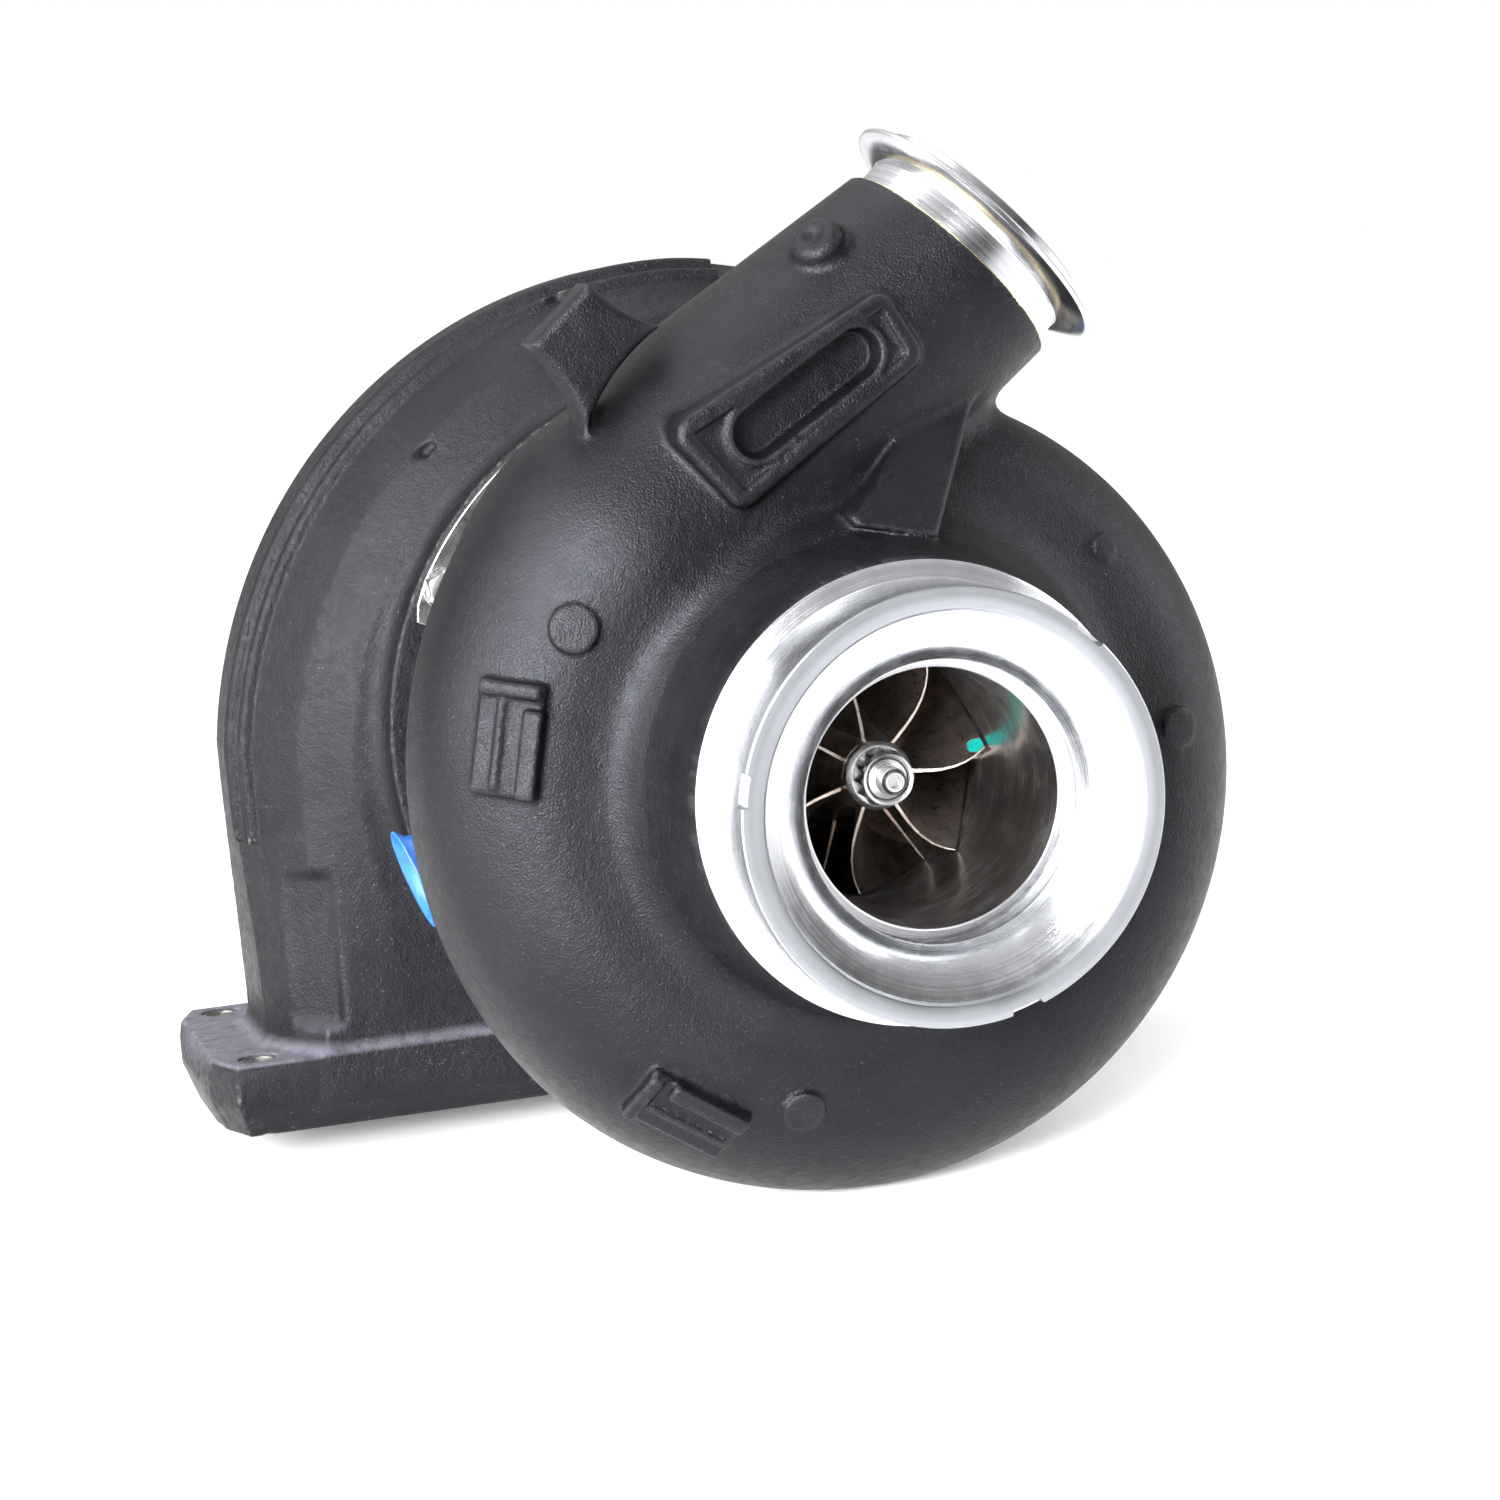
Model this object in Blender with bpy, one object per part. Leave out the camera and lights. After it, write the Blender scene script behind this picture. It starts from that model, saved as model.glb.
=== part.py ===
"""Exhaust turbocharger of a heavy diesel engine, with every part of the assembly as its own object.

The scene is in metres with +Z up. The origin is the centre of the turbine inlet flange's face, on
the wall between its two ports, and the flange faces down. The shaft runs along Y, with the
compressor at the -Y end. Sizes below are in millimetres. Shapes are laid out around the shaft axis
in a datum frame: X is across, Y is the distance behind the compressor inlet's face and Z is up.
The datum empty carries them to their places, and the helpers turn millimetres into metres.
"""

import math

import bmesh
import bpy
from mathutils import Matrix, Vector

MM = 0.001
GAP = 0.3  # running and seating clearance between neighbouring parts

# Layout along the shaft
TURBINE_PLANE = 296.0  # wall between the two halves of the twin-entry scroll
COMPRESSOR_PLANE = 122.0  # middle of the compressor scroll
OVERALL_LENGTH = 360.0
SHAFT_HEIGHT = 125.0  # shaft axis above the turbine inlet flange's face
FOOT_OFFSET = 105.0  # flange centre to the left of the shaft axis

# Compressor housing
INLET_RADIUS = 63.0
INLET_LIP_RADIUS = 55.8
SHOULDER_RADIUS = 68.0
SHOULDER_Y = 30.0
BORE_RADIUS = 38.0
BELL_DEPTH = 13.0
SCROLL_RADIUS = 88.0  # radius of the scroll's centreline
TONGUE_ANGLE = 70.0
PIPE_ANGLE = 132.0  # where the outlet pipe leaves the scroll
PIPE_LENGTH = 134.7
PIPE_END_OFFSET = 76.4
PIPE_END_RADIUS = 39.3
OUTLET_BORE = 34.0
REAR_FLANGE_RADIUS = 82.0
REAR_FLANGE_Y = 174.5
WHEEL_INDUCER = 37.4
WHEEL_EXDUCER = 53.0
WHEEL_LE_Y = 82.0
WHEEL_BACK_Y = 133.0
DIFFUSER_WIDTH = 6.0
FULL_BLADES = 7

# Bearing housing and shaft
NOSE_RADIUS = 48.0
NOSE_Y = 147.0
BEARING_FLANGE_RADIUS = 104.0
BEARING_FLANGE_Y = 230.0
BEARING_FLANGE_THICKNESS = 7.0
SHAFT_RADIUS = 7.5
STUB_RADIUS = 6.0
JOURNAL_OUTER = 11.0
JOURNAL_LENGTH = 15.0
FRONT_JOURNAL_Y = 165.0
REAR_JOURNAL_Y = 238.0
DRAIN_ANGLE = 198.0  # oil drain pad, seen from the compressor, from +X towards +Z
FEED_ANGLE = 18.0
PAD_REACH = 100.0  # shaft axis to the face of either oil pad
PORT_Y = 208.0  # oil ports, behind the compressor inlet
DRAIN_RADIUS = 10.0
FEED_RADIUS = 6.0
SEAL_Y = 138.0  # compressor-side gas seal ring
HOT_SEAL_Y = 270.0  # turbine-side gas seal ring
SEAL_WIDTH = 1.6
HOT_SEAL_BORE = 15.3

# Turbine housing
FOOT_THICKNESS = 25.0
FOOT_HALF_LENGTH = 80.0
FOOT_HALF_DEPTH = 53.0
FOOT_HOLE_X = 62.0
FOOT_HOLE_Y = 41.5
FOOT_HOLE_RADIUS = 5.1
SCROLL_INNER = 60.0
SCROLL_OUTER = 163.0
TURBINE_WALL = 7.0
PORT_WEB = 4.0  # half the wall between the two exhaust ports
TURBINE_WHEEL_RADIUS = 47.0
TURBINE_BACK_Y = 281.0
TURBINE_THROAT = 16.0
OUTLET_FLANGE_RADIUS = 66.0
EXHAUST_BORE = 54.0
TURBINE_BLADES = 11
CLAMP_PLATES = 4
BOLT_CIRCLE = 109.0

PLATE_HALF_ANGLE = 20.0
BOLT_SPREAD = 13.0  # each clamp plate's bolts stand this many degrees to either side of its middle
BOLT_HOLE_RADIUS = 4.3
SHROUD_Y = WHEEL_BACK_Y + 1 - DIFFUSER_WIDTH  # front wall of the diffuser
COMPRESSOR_REAR_Y = REAR_FLANGE_Y + 4.2

ROUND_STEPS = 24
CASTING_STEPS = 28


# Helpers


def material(name, colour, metallic, roughness):
    made = bpy.data.materials.new(name)
    made.use_nodes = True
    shader = made.node_tree.nodes["Principled BSDF"]
    shader.inputs["Base Color"].default_value = (*colour, 1)
    shader.inputs["Metallic"].default_value = metallic
    shader.inputs["Roughness"].default_value = roughness
    made.diffuse_color = (*colour, 1)
    return made


def place(name, bm, finish, parent):
    """Turns a mesh in millimetres into a named object under the parent empty."""
    bmesh.ops.recalc_face_normals(bm, faces=bm.faces)
    bmesh.ops.scale(bm, vec=(MM, MM, MM), verts=bm.verts)
    mesh = bpy.data.meshes.new(name)
    bm.to_mesh(mesh)
    bm.free()
    mesh.shade_smooth()
    mesh.set_sharp_from_angle(angle=math.radians(35))
    mesh.materials.append(finish)
    made = bpy.data.objects.new(name, mesh)
    bpy.context.scene.collection.objects.link(made)
    made.parent = parent
    return made


def combine(target, tool, operation, name, coiled=False):
    """Cuts the tool mesh from the target, or joins it on, with a Boolean modifier.

    A coiled tool is a spiral whose end runs into its own start.
    """
    helper = place(f"{target.name}.{name}", tool, target.data.materials[0], target.parent)
    helper.hide_render = True
    helper.display_type = "WIRE"
    modifier = target.modifiers.new(name, "BOOLEAN")
    modifier.operation = operation
    modifier.object = helper
    modifier.use_self = coiled
    return target


def cut(target, tool, name, coiled=False):
    return combine(target, tool, "DIFFERENCE", name, coiled)


def join(target, tool, name, coiled=False):
    return combine(target, tool, "UNION", name, coiled)


def turned(profile, steps=ROUND_STEPS):
    """A profile of (radius, y) points spun about the shaft axis.

    The profile is a closed ring, unless it starts and ends on the axis.
    """
    bm = bmesh.new()
    verts = [bm.verts.new((radius, y, 0)) for radius, y in profile]
    pairs = list(zip(verts, verts[1:]))
    if profile[0][0] > 0:
        pairs.append((verts[-1], verts[0]))
    edges = [bm.edges.new(pair) for pair in pairs]
    bmesh.ops.spin(
        bm, geom=verts + edges, axis=(0, 1, 0), cent=(0, 0, 0),
        angle=math.tau, steps=steps, use_merge=True,
    )
    bmesh.ops.remove_doubles(bm, verts=bm.verts, dist=0.0005)
    return bm


def loft(rings):
    """A closed skin through rings with the same number of points."""
    bm = bmesh.new()
    loops = [[bm.verts.new(point) for point in ring] for ring in rings]
    count = len(loops[0])
    for first, second in zip(loops, loops[1:]):
        for i in range(count):
            j = (i + 1) % count
            bm.faces.new((first[i], first[j], second[j], second[i]))
    bm.faces.new(loops[0])
    bm.faces.new(loops[-1])
    return bm


def bar(start, end, radius, sides=20, end_radius=None):
    """A straight round bar, or a cone, between two points."""
    start, end = Vector(start), Vector(end)
    axis = end - start
    bm = bmesh.new()
    bmesh.ops.create_cone(
        bm, cap_ends=True, segments=sides, depth=axis.length,
        radius1=radius, radius2=radius if end_radius is None else end_radius,
    )
    turn = Vector((0, 0, 1)).rotation_difference(axis).to_matrix().to_4x4()
    bmesh.ops.transform(bm, matrix=Matrix.Translation((start + end) / 2) @ turn, verts=bm.verts)
    return bm


def extruded(outline, low, high):
    """An outline of (x, z) points made solid between two distances along the shaft."""
    return loft([[(x, low, z) for x, z in outline], [(x, high, z) for x, z in outline]])


def merged(*meshes):
    """Separate shells in one mesh, for a single Boolean."""
    whole = bmesh.new()
    for bm in meshes:
        scratch = bpy.data.meshes.new("scratch")
        bmesh.ops.recalc_face_normals(bm, faces=bm.faces)
        bm.to_mesh(scratch)
        bm.free()
        whole.from_mesh(scratch)
        bpy.data.meshes.remove(scratch)
    return whole


def polar(radius, angle, y):
    """The point at this radius and angle in degrees, from +X towards +Z, around the shaft."""
    turn = math.radians(angle)
    return Vector((radius * math.cos(turn), y, radius * math.sin(turn)))


def eased(value):
    value = min(max(value, 0.0), 1.0)
    return value * value * (3 - 2 * value)


# Compressor housing


def scroll_radius(angle):
    """Outer radius of the scroll's round section, which grows from the tongue to the outlet."""
    if angle > -90:
        return 48.5 - 16.5 * ((angle + 90) / 140) ** 1.6
    return 48.5 - 4.0 * eased((-angle - 120) / 60) + 1.5 * eased((-angle - 185) / 43)


def pipe_point(along, across, y=0.0):
    """A point by its distance along the outlet pipe and its distance from the shaft axis."""
    turn = math.radians(PIPE_ANGLE)
    flow = Vector((math.sin(turn), 0, -math.cos(turn)))
    side = Vector((math.cos(turn), 0, math.sin(turn)))
    return flow * along + side * across + Vector((0, y, 0))


def circle_ring(centre, side, radius, sides):
    """A round ring in the plane of the side direction and the shaft."""
    ring = []
    for i in range(sides):
        turn = math.tau * i / sides
        ring.append(centre + side * radius * math.cos(turn) + Vector((0, radius * math.sin(turn), 0)))
    return ring


def scroll_rings(sides, start, centre_of, radius_of, pipe):
    """Rings around the scroll from the start angle to the outlet, then along the pipe."""
    rings = []
    stations = 21
    last = PIPE_ANGLE - 360
    for i in range(stations):
        angle = start + (last - start) * i / (stations - 1)
        side = polar(1, angle, 0)
        centre = polar(centre_of(angle), angle, COMPRESSOR_PLANE)
        rings.append(circle_ring(centre, side, radius_of(angle), sides))
    side = polar(1, PIPE_ANGLE, 0)
    for along, across, radius in pipe:
        rings.append(circle_ring(pipe_point(along, across, COMPRESSOR_PLANE), side, radius, sides))
    return rings


def passage_radius(angle):
    return (scroll_radius(angle) + 20) / 2


def compressor_housing(finish, datum):
    rear = COMPRESSOR_REAR_Y
    outside = [
        (0, 0), (INLET_RADIUS, 0), (INLET_RADIUS, SHOULDER_Y - 2),
        (SHOULDER_RADIUS, SHOULDER_Y), (SHOULDER_RADIUS, 42), (70, 56), (75, 68), (84, 78),
        (100, 96), (100, 146), (76.5, 168), (76.5, REAR_FLANGE_Y - 2),
        (REAR_FLANGE_RADIUS, REAR_FLANGE_Y), (REAR_FLANGE_RADIUS, rear), (0, rear),
    ]
    housing = place("compressor_housing", turned(outside, CASTING_STEPS), finish, datum)
    pipe = [(60, 86, 44), (PIPE_LENGTH, PIPE_END_OFFSET, PIPE_END_RADIUS)]
    scroll = loft(scroll_rings(18, TONGUE_ANGLE, lambda a: SCROLL_RADIUS, scroll_radius, pipe))
    join(housing, scroll, "scroll", coiled=True)
    collar_profile = [
        (-6, 36.5), (8.5, 36.5), (9, 38.5), (11.5, 45.5), (14, 46), (14.2, 40), (18, 39.6),
    ]
    side = polar(1, PIPE_ANGLE, 0)
    collar = loft([
        circle_ring(
            pipe_point(PIPE_LENGTH + along, PIPE_END_OFFSET, COMPRESSOR_PLANE), side, radius, 28
        )
        for along, radius in collar_profile
    ])
    join(housing, collar, "outlet_collar")
    pad = [pipe_point(s, a) for s, a in ((50, 158), (28, 158), (20, 130), (56, 135))]
    join(housing, extruded([(p.x, p.z) for p in pad], 98, 112), "lifting_pad")
    web = [pipe_point(s, a) for s, a in ((44, 146), (32, 147), (26, 120), (52, 120))]
    join(housing, extruded([(p.x, p.z) for p in web], 104, 124), "pad_web")
    gusset = [polar(62, 66, 0), polar(108, 63, 0), polar(104, 80, 0), polar(70, 92, 0)]
    join(housing, extruded([(p.x, p.z) for p in gusset], 92, 118), "tongue_web")
    mouth = [(40, 90, OUTLET_BORE), (PIPE_LENGTH + 30, PIPE_END_OFFSET, OUTLET_BORE)]
    passage = scroll_rings(
        12, 48, lambda a: 62 + passage_radius(a), passage_radius, mouth
    )
    cut(housing, loft(passage), "passage", coiled=True)
    back = WHEEL_BACK_Y + 1
    bore = [
        (0, -5), (INLET_LIP_RADIUS + 2.4, -5), (INLET_LIP_RADIUS, 1.2), (46, 6), (41, BELL_DEPTH),
        (41, 21.3), (BORE_RADIUS, 21.3), (BORE_RADIUS, 84), (39.2, 94), (41.5, 106),
        (47, 118.5), (56, SHROUD_Y), (68, SHROUD_Y), (68, back), (60.8, back),
        (60.8, 152), (67, 172), (67, rear + 5), (0, rear + 5),
    ]
    cut(housing, turned(bore, CASTING_STEPS), "bore")
    return housing


def inlet_insert(finish, datum):
    profile = [
        (38.4, BELL_DEPTH + GAP), (40.6, BELL_DEPTH + GAP), (40.6, 21), (38.4, 21),
    ]
    return place("inlet_insert", turned(profile), finish, datum)


def compressor_backplate(finish, datum):
    face = WHEEL_BACK_Y + 1
    flange = REAR_FLANGE_Y + 4.5
    profile = [
        (14, face), (60, face), (60, 140), (58, 140), (58, 143), (60, 143), (60, 152), (66, 172),
        (66, flange), (REAR_FLANGE_RADIUS, flange), (REAR_FLANGE_RADIUS, flange + 4),
        (54.6, flange + 4), (49, 156), (49, 145), (14, 145),
    ]
    return place("compressor_backplate", turned(profile), finish, datum)


def ring_section(inner, outer, low, width):
    return [(inner, low), (outer, low), (outer, low + width), (inner, low + width)]


def seal_rings(rubber, steel, datum):
    """The backplate's O-ring, and the split rings that keep gas out of the oil at each end."""
    place("backplate_o_ring", turned(ring_section(58.3, 59.9, 140.4, 2.2)), rubber, datum)
    place("compressor_seal_ring", turned(ring_section(11.9, 13.7, SEAL_Y, SEAL_WIDTH)), steel, datum)
    place("turbine_seal_ring", turned(ring_section(12.9, 15.0, HOT_SEAL_Y, SEAL_WIDTH)), steel, datum)


def clamp_band(band_finish, bolt_finish, datum):
    """The V-band that holds the compressor housing, backplate and bearing housing together."""
    low = REAR_FLANGE_Y
    high = REAR_FLANGE_Y + 13.5
    section = [
        (79.4, low - 2.6), (82.6, low - 0.4), (82.6, high + 0.4), (79.4, high + 2.6),
        (81.2, high + 4.2), (85.2, high + 1.4), (85.2, low - 1.4), (81.2, low - 4.2),
    ]
    gap_angle, half_gap, steps = -60, 5, 32
    rings = []
    for i in range(steps + 1):
        angle = gap_angle + half_gap + (360 - 2 * half_gap) * i / steps
        rings.append([polar(radius, angle, y) for radius, y in section])
    band = place("v_band_clamp", loft(rings), band_finish, datum)
    tangent = polar(1, gap_angle + 90, 0)
    middle = (low + high) / 2
    for side, name in ((-1, "first_lug"), (1, "second_lug")):
        across = [tangent * side * reach for reach in (9, 17)]
        lug = []
        for reach in across:
            lug.append([
                polar(radius, gap_angle, middle + y) + reach
                for radius, y in ((83.5, -6), (97, -6), (97, 6), (83.5, 6))
            ])
        join(band, loft(lug), name)
    centre = polar(91, gap_angle, middle)
    hole = bar(centre - tangent * 30, centre + tangent * 30, 3.4, 14)
    cut(band, hole, "bolt_hole")
    bolt = bar(centre - tangent * 17.5, centre + tangent * 30, 3.0, 14)
    t_bolt = place("clamp_t_bolt", bolt, bolt_finish, datum)
    head = bar(centre - tangent * 21, centre - tangent * 17.3, 5.5, 6)
    join(t_bolt, head, "head")
    nut = bar(centre + tangent * 17.4, centre + tangent * 24.4, 6.0, 6)
    clamp_nut = place("clamp_nut", nut, bolt_finish, datum)
    cut(clamp_nut, bar(centre + tangent * 15, centre + tangent * 27, 3.3, 14), "thread")


# Bearing housing and what it holds


def bearing_housing(finish, datum):
    flange = BEARING_FLANGE_Y
    front = REAR_FLANGE_Y + 8.8
    outer = [
        (33, NOSE_Y), (NOSE_RADIUS, NOSE_Y), (NOSE_RADIUS, 156), (53.5, front - 1), (53.5, front),
        (REAR_FLANGE_RADIUS, front), (REAR_FLANGE_RADIUS, front + 4.5), (62, front + 7),
        (50, 200), (48, 214), (58, 224), (84, flange), (BEARING_FLANGE_RADIUS, flange),
        (BEARING_FLANGE_RADIUS, flange + BEARING_FLANGE_THICKNESS),
        (50, flange + BEARING_FLANGE_THICKNESS), (50, 270), (44, 276),
        (HOT_SEAL_BORE, 276), (HOT_SEAL_BORE, 264), (JOURNAL_OUTER + GAP, 264),
        (JOURNAL_OUTER + GAP, 162), (33, 162),
    ]
    housing = place("bearing_housing", turned(outer, CASTING_STEPS), finish, datum)
    for angle, name, radius in ((DRAIN_ANGLE, "drain_neck", 15.6), (FEED_ANGLE, "feed_neck", 13)):
        neck = bar(polar(36, angle, PORT_Y), polar(PAD_REACH, angle, PORT_Y), radius, 20)
        join(housing, neck, name)
    sump = [(9, 188), (40, 190), (38, 226), (9, 228)]
    cut(housing, turned(sump), "sump")
    holes = ((DRAIN_ANGLE, "drain_hole", DRAIN_RADIUS), (FEED_ANGLE, "feed_hole", FEED_RADIUS))
    for angle, name, radius in holes:
        hole = bar(polar(20, angle, PORT_Y), polar(PAD_REACH + 5, angle, PORT_Y), radius, 16)
        cut(housing, hole, name)
    return housing


def bearing_parts(bronze, steel, datum):
    place("thrust_bearing", turned(ring_section(10, 32.7, 155.3, 6.4)), bronze, datum)
    place("oil_baffle", turned(ring_section(15, 32.7, 148, 2)), steel, datum)
    for name, y in (("front_snap_ring", 182.0), ("rear_snap_ring", 233.5)):
        place(name, turned(ring_section(9.4, 11.1, y, 1.4)), steel, datum)


def journal_bearing(name, y, bronze, pivot):
    """A floating bush that turns in the oil film at part of the shaft's speed."""
    inner = SHAFT_RADIUS + 0.15
    outer = JOURNAL_OUTER - 0.1
    place(name, turned(ring_section(inner, outer, y, JOURNAL_LENGTH), 32), bronze, pivot)


def oil_cap(name, angle, hole, rim, plastic, slide):
    """A tapered plastic plug: a hollow cup pushed into an oil port, with a flared lip."""
    wall = 1.3
    profile = [
        (0, -18), (hole - 1.4, -18), (hole - 0.5, 1.5), (rim - 2, 22), (rim, 22.6), (rim, 24),
        (rim - 2.4, 24), (hole - 0.6 - wall, 2), (hole - 1.4 - wall, -16.4), (0, -16.4),
    ]
    bm = turned(profile, 20)
    turn = Vector((0, 1, 0)).rotation_difference(polar(1, angle, 0)).to_matrix().to_4x4()
    seat = Matrix.Translation(polar(PAD_REACH, angle, PORT_Y)) @ turn
    bmesh.ops.transform(bm, matrix=seat, verts=bm.verts)
    place(name, bm, plastic, slide)


def heat_shield(steel, datum):
    profile = [
        (50.6, 239.2), (64.5, 239.2), (64.5, 240.6), (51.9, 240.6), (51.9, 278.4), (16, 278.4),
        (16, 277.2), (50.6, 277.2),
    ]
    place("heat_shield", turned(profile), steel, datum)


# Rotor


def arc_points(start, end, count, bulge):
    """Points from start to end on a curve that bulges towards the corner (end radius, start y)."""
    points = []
    for i in range(count):
        t = i / (count - 1)
        straight = [a + (b - a) * t for a, b in zip(start, end)]
        turn = t * math.pi / 2
        quarter = (
            end[0] + (start[0] - end[0]) * math.cos(turn),
            start[1] + (end[1] - start[1]) * math.sin(turn),
        )
        outer = (
            start[0] + (end[0] - start[0]) * (1 - math.cos(turn)),
            start[1] + (end[1] - start[1]) * math.sin(turn),
        )
        curve = outer if bulge > 0 else quarter
        points.append(tuple(s + abs(bulge) * (c - s) for s, c in zip(straight, curve)))
    return points


def blade(hub, tip, start_angle, wrap, thickness):
    """A thin vane between a hub curve and a tip curve of (radius, y) points."""
    rings = []
    for i, (inner, outer) in enumerate(zip(hub, tip)):
        t = i / (len(hub) - 1)
        angle = start_angle + wrap * t
        ring = []
        for radius, y, side in ((*inner, -1), (*inner, 1), (*outer, 1), (*outer, -1)):
            half = math.degrees(side * thickness / 2 / radius)
            ring.append(polar(radius, angle + half, y))
        rings.append(ring)
    return loft(rings)


def compressor_wheel(aluminium, spin):
    hub_start, hub_end = (10.4, 76), (WHEEL_EXDUCER, WHEEL_BACK_Y - 2.6)
    curve = arc_points(hub_start, hub_end, 7, 0.75)
    profile = [(6.3, 75), (9.8, 75), *curve, (WHEEL_EXDUCER, WHEEL_BACK_Y), (6.3, WHEEL_BACK_Y)]
    wheel = place("compressor_wheel", turned(profile), aluminium, spin)
    stations = 6
    hub = arc_points((10.6, 80), (WHEEL_EXDUCER - 0.8, WHEEL_BACK_Y - 2), stations, 0.75)
    tip_end = (WHEEL_EXDUCER - 0.5, WHEEL_BACK_Y + 0.4 - DIFFUSER_WIDTH)
    tip = arc_points((WHEEL_INDUCER, WHEEL_LE_Y), tip_end, stations, 0.9)
    blades = []
    for i in range(FULL_BLADES):
        angle = 360 * i / FULL_BLADES
        sunk = [(radius - 1.4, y + 1.0) for radius, y in hub]
        blades.append(blade(sunk, tip, angle, 62, 1.6))
        split = angle + 180 / FULL_BLADES + 20
        blades.append(blade(sunk[2:], tip[2:], split, 38, 1.5))
    return join(wheel, merged(*blades), "blades")


def turbine_wheel(alloy, spin):
    back = TURBINE_BACK_Y
    groove_end = HOT_SEAL_Y + SEAL_WIDTH + GAP
    profile = [
        (0, 56), (1.6, 56), (4.2, 57), (4.2, 62), (STUB_RADIUS, 63), (STUB_RADIUS, 163.5),
        (SHAFT_RADIUS, 164), (SHAFT_RADIUS, 264.6), (14.4, 264.6), (14.4, HOT_SEAL_Y - GAP),
        (12.6, HOT_SEAL_Y - GAP), (12.6, groove_end), (14.4, groove_end), (14.4, 278.8), (20, 279.6),
        (TURBINE_WHEEL_RADIUS - 3, back), (TURBINE_WHEEL_RADIUS - 3, back + 2),
        (30, back + 7), (20, back + 18), (15, back + 34), (13, back + 50), (9, back + 54),
        (0, back + 55),
    ]
    wheel = place("turbine_wheel_and_shaft", turned(profile), alloy, spin)
    hub = [(40, back + 1), (26, back + 6), (17, back + 18), (13, back + 32), (11.5, back + 44)]
    tip = [
        (TURBINE_WHEEL_RADIUS, back + 1.2), (TURBINE_WHEEL_RADIUS, back + 5 + TURBINE_THROAT - 2),
        (43.5, back + 24), (41.2, back + 33), (41, back + 44),
    ]
    blades = [
        blade(hub, tip, 360 * i / TURBINE_BLADES, -34, 2.2) for i in range(TURBINE_BLADES)
    ]
    return join(wheel, merged(*blades), "blades")


def rotor_fittings(steel, spin):
    inner = STUB_RADIUS + GAP
    nut = [(inner, 62.5), (7.6, 62.5), (8.6, 64), (8.6, 71), (10.5, 72), (10.5, 74.6), (inner, 74.6)]
    place("shaft_nut", turned(nut), steel, spin)
    groove_end = SEAL_Y + SEAL_WIDTH + GAP
    slinger = [
        (inner, 133.4), (13.2, 133.4), (13.2, SEAL_Y - GAP), (11.6, SEAL_Y - GAP),
        (11.6, groove_end), (13.2, groove_end), (13.2, 145), (14.6, 147), (14.6, 151), (inner, 151),
    ]
    place("oil_slinger", turned(slinger), steel, spin)
    collar = [(inner, 151.4), (28, 151.4), (28, 155), (9.6, 155), (9.6, 163.2), (inner, 163.2)]
    place("thrust_collar", turned(collar), steel, spin)


# Turbine housing


def turbine_outer(travel):
    """Outer radius of the turbine scroll, by degrees travelled clockwise from the inlet side."""
    if travel <= 90:
        return 150 + (SCROLL_OUTER - 150) * (1 - travel / 90) ** 2.2
    return 150 - 50 * ((travel - 90) / 250) ** 1.3


SCROLL_SECTION = (
    (0.0, -50), (0.50, -57), (0.66, -54), (0.82, -43), (0.94, -26), (1.0, -12), (1.0, 12),
    (0.94, 28), (0.82, 42), (0.62, 53), (0.30, 56), (0.0, 52),
)
DUCT_SECTION = (
    (0.0, -40), (0.12, -49), (0.60, -49), (0.86, -49), (0.94, -36), (1.0, -20), (1.0, 20),
    (0.94, 36), (0.86, 49), (0.60, 49), (0.12, 49), (0.0, 40),
)


def section_ring(inner, outer, shape):
    """Places a section of (share of the width, y) points between two points."""
    return [inner + (outer - inner) * share + Vector((0, TURBINE_PLANE + y, 0)) for share, y in shape]


def turbine_rings(shape_of, inset, foot_z):
    """Rings from the inlet flange up the duct and clockwise round the scroll.

    shape_of gives the section from 0, the duct's, to 1, the scroll's.
    """
    rings = []
    for level in (foot_z, -88, -56, -28):
        rise = eased((level + 100) / 100)
        inner = Vector((-(48 + 12 * rise + inset), 0, level))
        outer = Vector((-(160 + 3 * rise - inset), 0, level))
        rings.append(section_ring(inner, outer, shape_of(rise)))
    steps = 18
    last = 336
    for i in range(steps + 1):
        travel = last * i / steps
        angle = 180 - travel
        inner = polar(SCROLL_INNER + inset, angle, 0)
        outer = polar(turbine_outer(travel) - inset, angle, 0)
        rings.append(section_ring(inner, outer, shape_of(1)))
    return rings


def blended(duct, scroll):
    """Gives the section between the duct's and the scroll's."""
    def shape_of(rise):
        return [
            (a + (c - a) * rise, b + (d - b) * rise) for (a, b), (c, d) in zip(duct, scroll)
        ]
    return shape_of


def foot_outline():
    """The flange seen from above, as (x, y) points, with its ends drawn to a blunt point."""
    half, depth = FOOT_HALF_LENGTH, FOOT_HALF_DEPTH
    corner = [(half, 12), (half - 2, 34), (half - 9, depth)]
    outline = []
    for x_side, y_side in ((1, 1), (-1, 1), (-1, -1), (1, -1)):
        points = [(x * x_side, y * y_side) for x, y in corner]
        outline += points if x_side == y_side else reversed(points)
    return outline


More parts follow.
